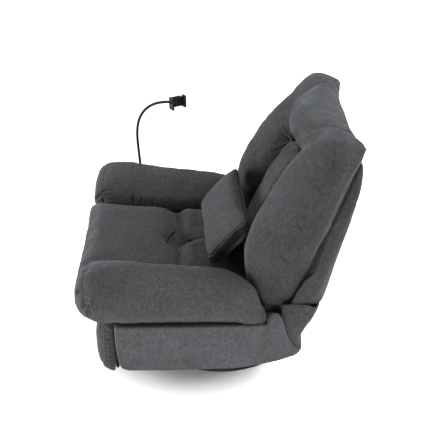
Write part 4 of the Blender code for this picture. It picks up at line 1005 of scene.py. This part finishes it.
pillow = {
    "voxel": 0.005, "smoothing": 8, "inset": 0.003, "pressure": 4.0, "cap": 0.009,
    "half": 0.245, "height": 0.115, "edge": 0.020, "lean": math.radians(48), "yaw": math.radians(2.5),
    "taper": 0.034, "pinch": 0.014, "shift": (0.0, 0.010, 0.012),
    "cord": 0.0024, "cordSunk": 0.35, "stops": 96, "squareness": 0.28,
    "edgePleats": (16, 0.030, 0.0045, 0.0022),
}


def pillowTaper(u, v, out):  # in the pillow's own measures the band along the top leans in under the front face
    lift = between(v, 0.02, pillow["height"]) * between(-out, -pillow["edge"], pillow["edge"])
    pinch = between(np.abs(u), 0.12, pillow["half"]) * between(out, -pillow["edge"], pillow["edge"])
    return u - np.sign(u) * pinch * pillow["pinch"], v - lift * pillow["taper"], out


def pillowMiddle():
    low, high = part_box("lumbar_pillow")
    return Vector((ringMiddle.x, (low.y + high.y) / 2, (low.z + high.z) / 2)) + Vector(pillow["shift"])


def pillowTurn():
    return Matrix.Rotation(pillow["yaw"], 3, "Z") @ Matrix.Rotation(pillow["lean"], 3, "X")


def pillowEdge(face):  # the line where a face meets the band
    line = []
    turnTo, middle = pillowTurn(), pillowMiddle()
    for k in range(pillow["stops"]):
        turn = 2 * math.pi * k / pillow["stops"]
        c, s = math.cos(turn), math.sin(turn)
        u = math.copysign(abs(c) ** pillow["squareness"], c)
        v = math.copysign(abs(s) ** pillow["squareness"], s)
        out = face * pillow["edge"] * (1 - 0.62 * (abs(u) * abs(v)) ** 3)
        across = u * pillow["half"] * (1 - 0.045 * (1 - v * v))
        upward = v * pillow["height"] * (1 - 0.06 * (1 - u**4))
        line.append(turnTo @ Vector(pillowTaper(across, upward, out)) + middle)
    return line


def makePillow():
    piece = softCopy("lumbarPillow", "lumbar_pillow", pillow)
    turn, middle = np.array(pillowTurn()), np.array(pillowMiddle())
    own = (readPoints(piece) + np.array(pillow["shift"]) - middle) @ turn
    writePoints(piece, np.stack(pillowTaper(*own.T), 1) @ turn.T + middle)
    puff(piece, pillow)
    finer(piece)
    tree = treeOf(piece)
    strokes, lines = [], []
    for face in (1, -1):
        line = [tree.find_nearest(p)[0] for p in pillowEdge(face)]
        lines.append(line)
        strokes.append((line + line[:1], 0.0040, 0.0030, "even"))
        strokes += gathers(tree, line[::4], (0, -0.3, 0.1), *pillow["edgePleats"], seed=31 + face)
    carve(piece, strokes)
    rumple(piece, 0.055, 0.0016, 14)
    settle(piece, "pillow", "lumbar_pillow", plush)
    # the band's faces take the almost black plush, a painted shade
    piece.data.materials.append(pillowBandPaintedShade)
    toOwn, centre = pillowTurn().inverted(), pillowMiddle()
    for face in piece.data.polygons:
        height = (toOwn @ (face.center - centre)).z
        if abs(height) < pillow["edge"] * 1.02 and abs((toOwn @ face.normal).z) < 0.80:
            face.material_index = 1
    tree = treeOf(piece)
    for label, line in zip(("Front", "Rear"), lines):
        seated = []
        for p in line:
            place, normal, _, _ = tree.find_nearest(p)
            seated.append(place + normal * pillow["cord"] * pillow["cordSunk"])
        cord = tubeAlong("pillowPiping" + label, seated, pillow["cord"])
        settle(cord, "pillow", None, piping)


makePillow()
print("lumbar pillow made")


# Dark lining under the wings' tips and behind the footrest pad, along paths of (y, z)

linings = {
    "thickness": 0.0010, "columns": 10, "gap": 0.008,
    "tipPath": ((0.146, 0.3563), (0.190, 0.3565), (0.226, 0.3560), (0.236, 0.345), (0.248, 0.312), (0.277, 0.301)),
    "tipInner": 0.300, "tipOuter": 0.4424,
    "padPath": (
        (-0.414, 0.104), (-0.4015, 0.108), (-0.4010, 0.200), (-0.4015, 0.290), (-0.414, 0.296), (-0.416, 0.200),
        (-0.414, 0.106),
    ),
    "padHalf": 0.384,
}


def liningStrip(name, path, start, end, body):  # cloth hung along a path, from one x to another
    bm = bmesh.new()
    line = spread([chair(0, y, z) for y, z in path], linings["gap"])
    rows = []
    for i in range(linings["columns"] + 1):
        x = ringMiddle.x + start + (end - start) * i / linings["columns"]
        rows.append([bm.verts.new((x, p.y, p.z)) for p in line])
    for a, b in zip(rows[:-1], rows[1:]):
        for k in range(len(line) - 1):
            bm.faces.new((a[k], b[k], b[k + 1], a[k + 1]))
    piece = pieceFrom(name, bm)
    cloth = piece.modifiers.new("cloth", "SOLIDIFY")
    cloth.thickness = linings["thickness"]
    cloth.offset = 0
    applyModifiers(piece)
    settle(piece, body, None, lining)


for side, label in ((1, "Left"), (-1, "Right")):
    inner, outer = side * linings["tipInner"], side * linings["tipOuter"]
    liningStrip("tipLining" + label, linings["tipPath"], inner, outer, "chassis")
liningStrip("padLining", linings["padPath"], -linings["padHalf"], linings["padHalf"], "ottoman")
print("linings made")


# Rock springs, which give way between the turntable and the tubes above them

springs = {"radius": 0.020, "wire": 0.0029, "turns": 5, "bottom": 0.0579, "top": 0.1603, "place": 0.110, "steps": 24}


def makeSpring(name, node, y):
    count = springs["turns"] * springs["steps"]
    points = []
    for k in range(count + 1):
        turn = 2 * math.pi * k / springs["steps"]
        height = springs["bottom"] + (springs["top"] - springs["bottom"]) * k / count
        points.append(chair(springs["radius"] * math.cos(turn), y + springs["radius"] * math.sin(turn), height))
    coil = tubeAlong(name, points, springs["wire"], sides=10, closed=False)
    settle(coil, None, node, springSteel)
    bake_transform(coil)


makeSpring("rockSpringFront", "rock_spring_front", -springs["place"])
makeSpring("rockSpringRear", "rock_spring_rear", springs["place"])
print("rock springs made")


# Floor, light and background

studio = {
    "floor": 0.80, "floorSize": 14, "horizon": 0.30, "zenith": 0.07,
    # painted shadow on the floor: the glow is low near the base and high far from it, and changes between these
    # distances
    "near": 0.02, "far": 0.90, "shade": (0.25, 0.47), "paintedShadowMiddle": (0.05, -0.12, 0),
    "aim": (0, 0, 0.45),
    "lamps": (  # name, place, power and size
        ("frontLamp", (0.2, -3.2, 0.8), 112, 1.4),
        ("rearLamp", (0.1, 2.3, 2.8), 106, 1.4),
        ("topLamp", (-0.4, -0.5, 3.3), 38, 1.4),
        ("lowLamp", (2.6, -0.1, 0.10), 60, 1.0),
    ),
}


def seenDirectly(tree):  # 1 for camera, glossy and transmission rays, which meet the white background
    path = tree.nodes.new("ShaderNodeLightPath")
    last = path.outputs["Is Camera Ray"]
    for ray in ("Is Glossy Ray", "Is Transmission Ray"):
        either = tree.nodes.new("ShaderNodeMath")
        either.operation = "MAXIMUM"
        tree.links.new(last, either.inputs[0])
        tree.links.new(path.outputs[ray], either.inputs[1])
        last = either.outputs[0]
    return last


def makeFloor():
    bpy.ops.mesh.primitive_grid_add(
        size=studio["floorSize"], x_subdivisions=2, y_subdivisions=2, location=(0, 0, -0.0005)
    )
    floor = bpy.context.object
    floor.name = "studioFloor"
    material, tree, shader = newMaterial("paleFloor")
    setInputs(shader, {"Base Color": (studio["floor"],) * 3 + (1,), "Roughness": 0.9, "Specular IOR Level": 0.1})
    # the floor's glow fades towards the chair's base: a painted shadow round its foot
    around = tree.nodes.new("ShaderNodeTexCoord")
    shift = tree.nodes.new("ShaderNodeVectorMath")
    shift.operation = "SUBTRACT"
    shift.inputs[1].default_value = studio["paintedShadowMiddle"]
    distance = tree.nodes.new("ShaderNodeVectorMath")
    distance.operation = "LENGTH"
    fade = tree.nodes.new("ShaderNodeMapRange")
    fade.interpolation_type = "SMOOTHSTEP"
    start, end = studio["shade"]
    setInputs(fade, {"From Min": start, "From Max": end, "To Min": studio["near"], "To Max": studio["far"]})
    strength = tree.nodes.new("ShaderNodeMath")
    strength.operation = "MULTIPLY"
    glow = tree.nodes.new("ShaderNodeEmission")
    both = tree.nodes.new("ShaderNodeAddShader")
    tree.links.new(around.outputs["Object"], shift.inputs[0])
    tree.links.new(shift.outputs["Vector"], distance.inputs[0])
    tree.links.new(distance.outputs["Value"], fade.inputs["Value"])
    tree.links.new(seenDirectly(tree), strength.inputs[0])
    tree.links.new(fade.outputs["Result"], strength.inputs[1])
    tree.links.new(strength.outputs[0], glow.inputs["Strength"])
    tree.links.new(shader.outputs["BSDF"], both.inputs[0])
    tree.links.new(glow.outputs["Emission"], both.inputs[1])
    tree.links.new(both.outputs[0], tree.nodes["Material Output"].inputs["Surface"])
    dress(floor, material)


def makeWorld():
    world = bpy.data.worlds.new("paleStudio")
    bpy.context.scene.world = world
    world.use_nodes = True
    tree = world.node_tree
    for node in list(tree.nodes):
        tree.nodes.remove(node)
    around = tree.nodes.new("ShaderNodeTexCoord")
    split = tree.nodes.new("ShaderNodeSeparateXYZ")
    fade = tree.nodes.new("ShaderNodeMapRange")
    setInputs(fade, {"To Min": studio["horizon"], "To Max": studio["zenith"]})
    soft = tree.nodes.new("ShaderNodeBackground")
    setInputs(soft, {"Color": (1, 1, 1, 1)})
    white = tree.nodes.new("ShaderNodeBackground")
    setInputs(white, {"Color": (1, 1, 1, 1), "Strength": 1.0})
    mix = tree.nodes.new("ShaderNodeMixShader")
    out = tree.nodes.new("ShaderNodeOutputWorld")
    tree.links.new(around.outputs["Generated"], split.inputs[0])
    tree.links.new(split.outputs["Z"], fade.inputs["Value"])
    tree.links.new(fade.outputs["Result"], soft.inputs["Strength"])
    tree.links.new(seenDirectly(tree), mix.inputs["Fac"])
    tree.links.new(soft.outputs[0], mix.inputs[1])
    tree.links.new(white.outputs[0], mix.inputs[2])
    tree.links.new(mix.outputs[0], out.inputs["Surface"])


def addLamp(name, place, power, size):
    data = bpy.data.lights.new(name, "AREA")
    data.energy = power
    data.size = size
    lamp = bpy.data.objects.new(name, data)
    lamp.location = place
    lamp.rotation_euler = (Vector(studio["aim"]) - Vector(place)).to_track_quat("-Z", "Y").to_euler()
    bpy.context.scene.collection.objects.link(lamp)


makeFloor()
makeWorld()
for lamp in studio["lamps"]:
    addLamp(*lamp)
bpy.context.scene.view_settings.view_transform = "Standard"
print("studio set")
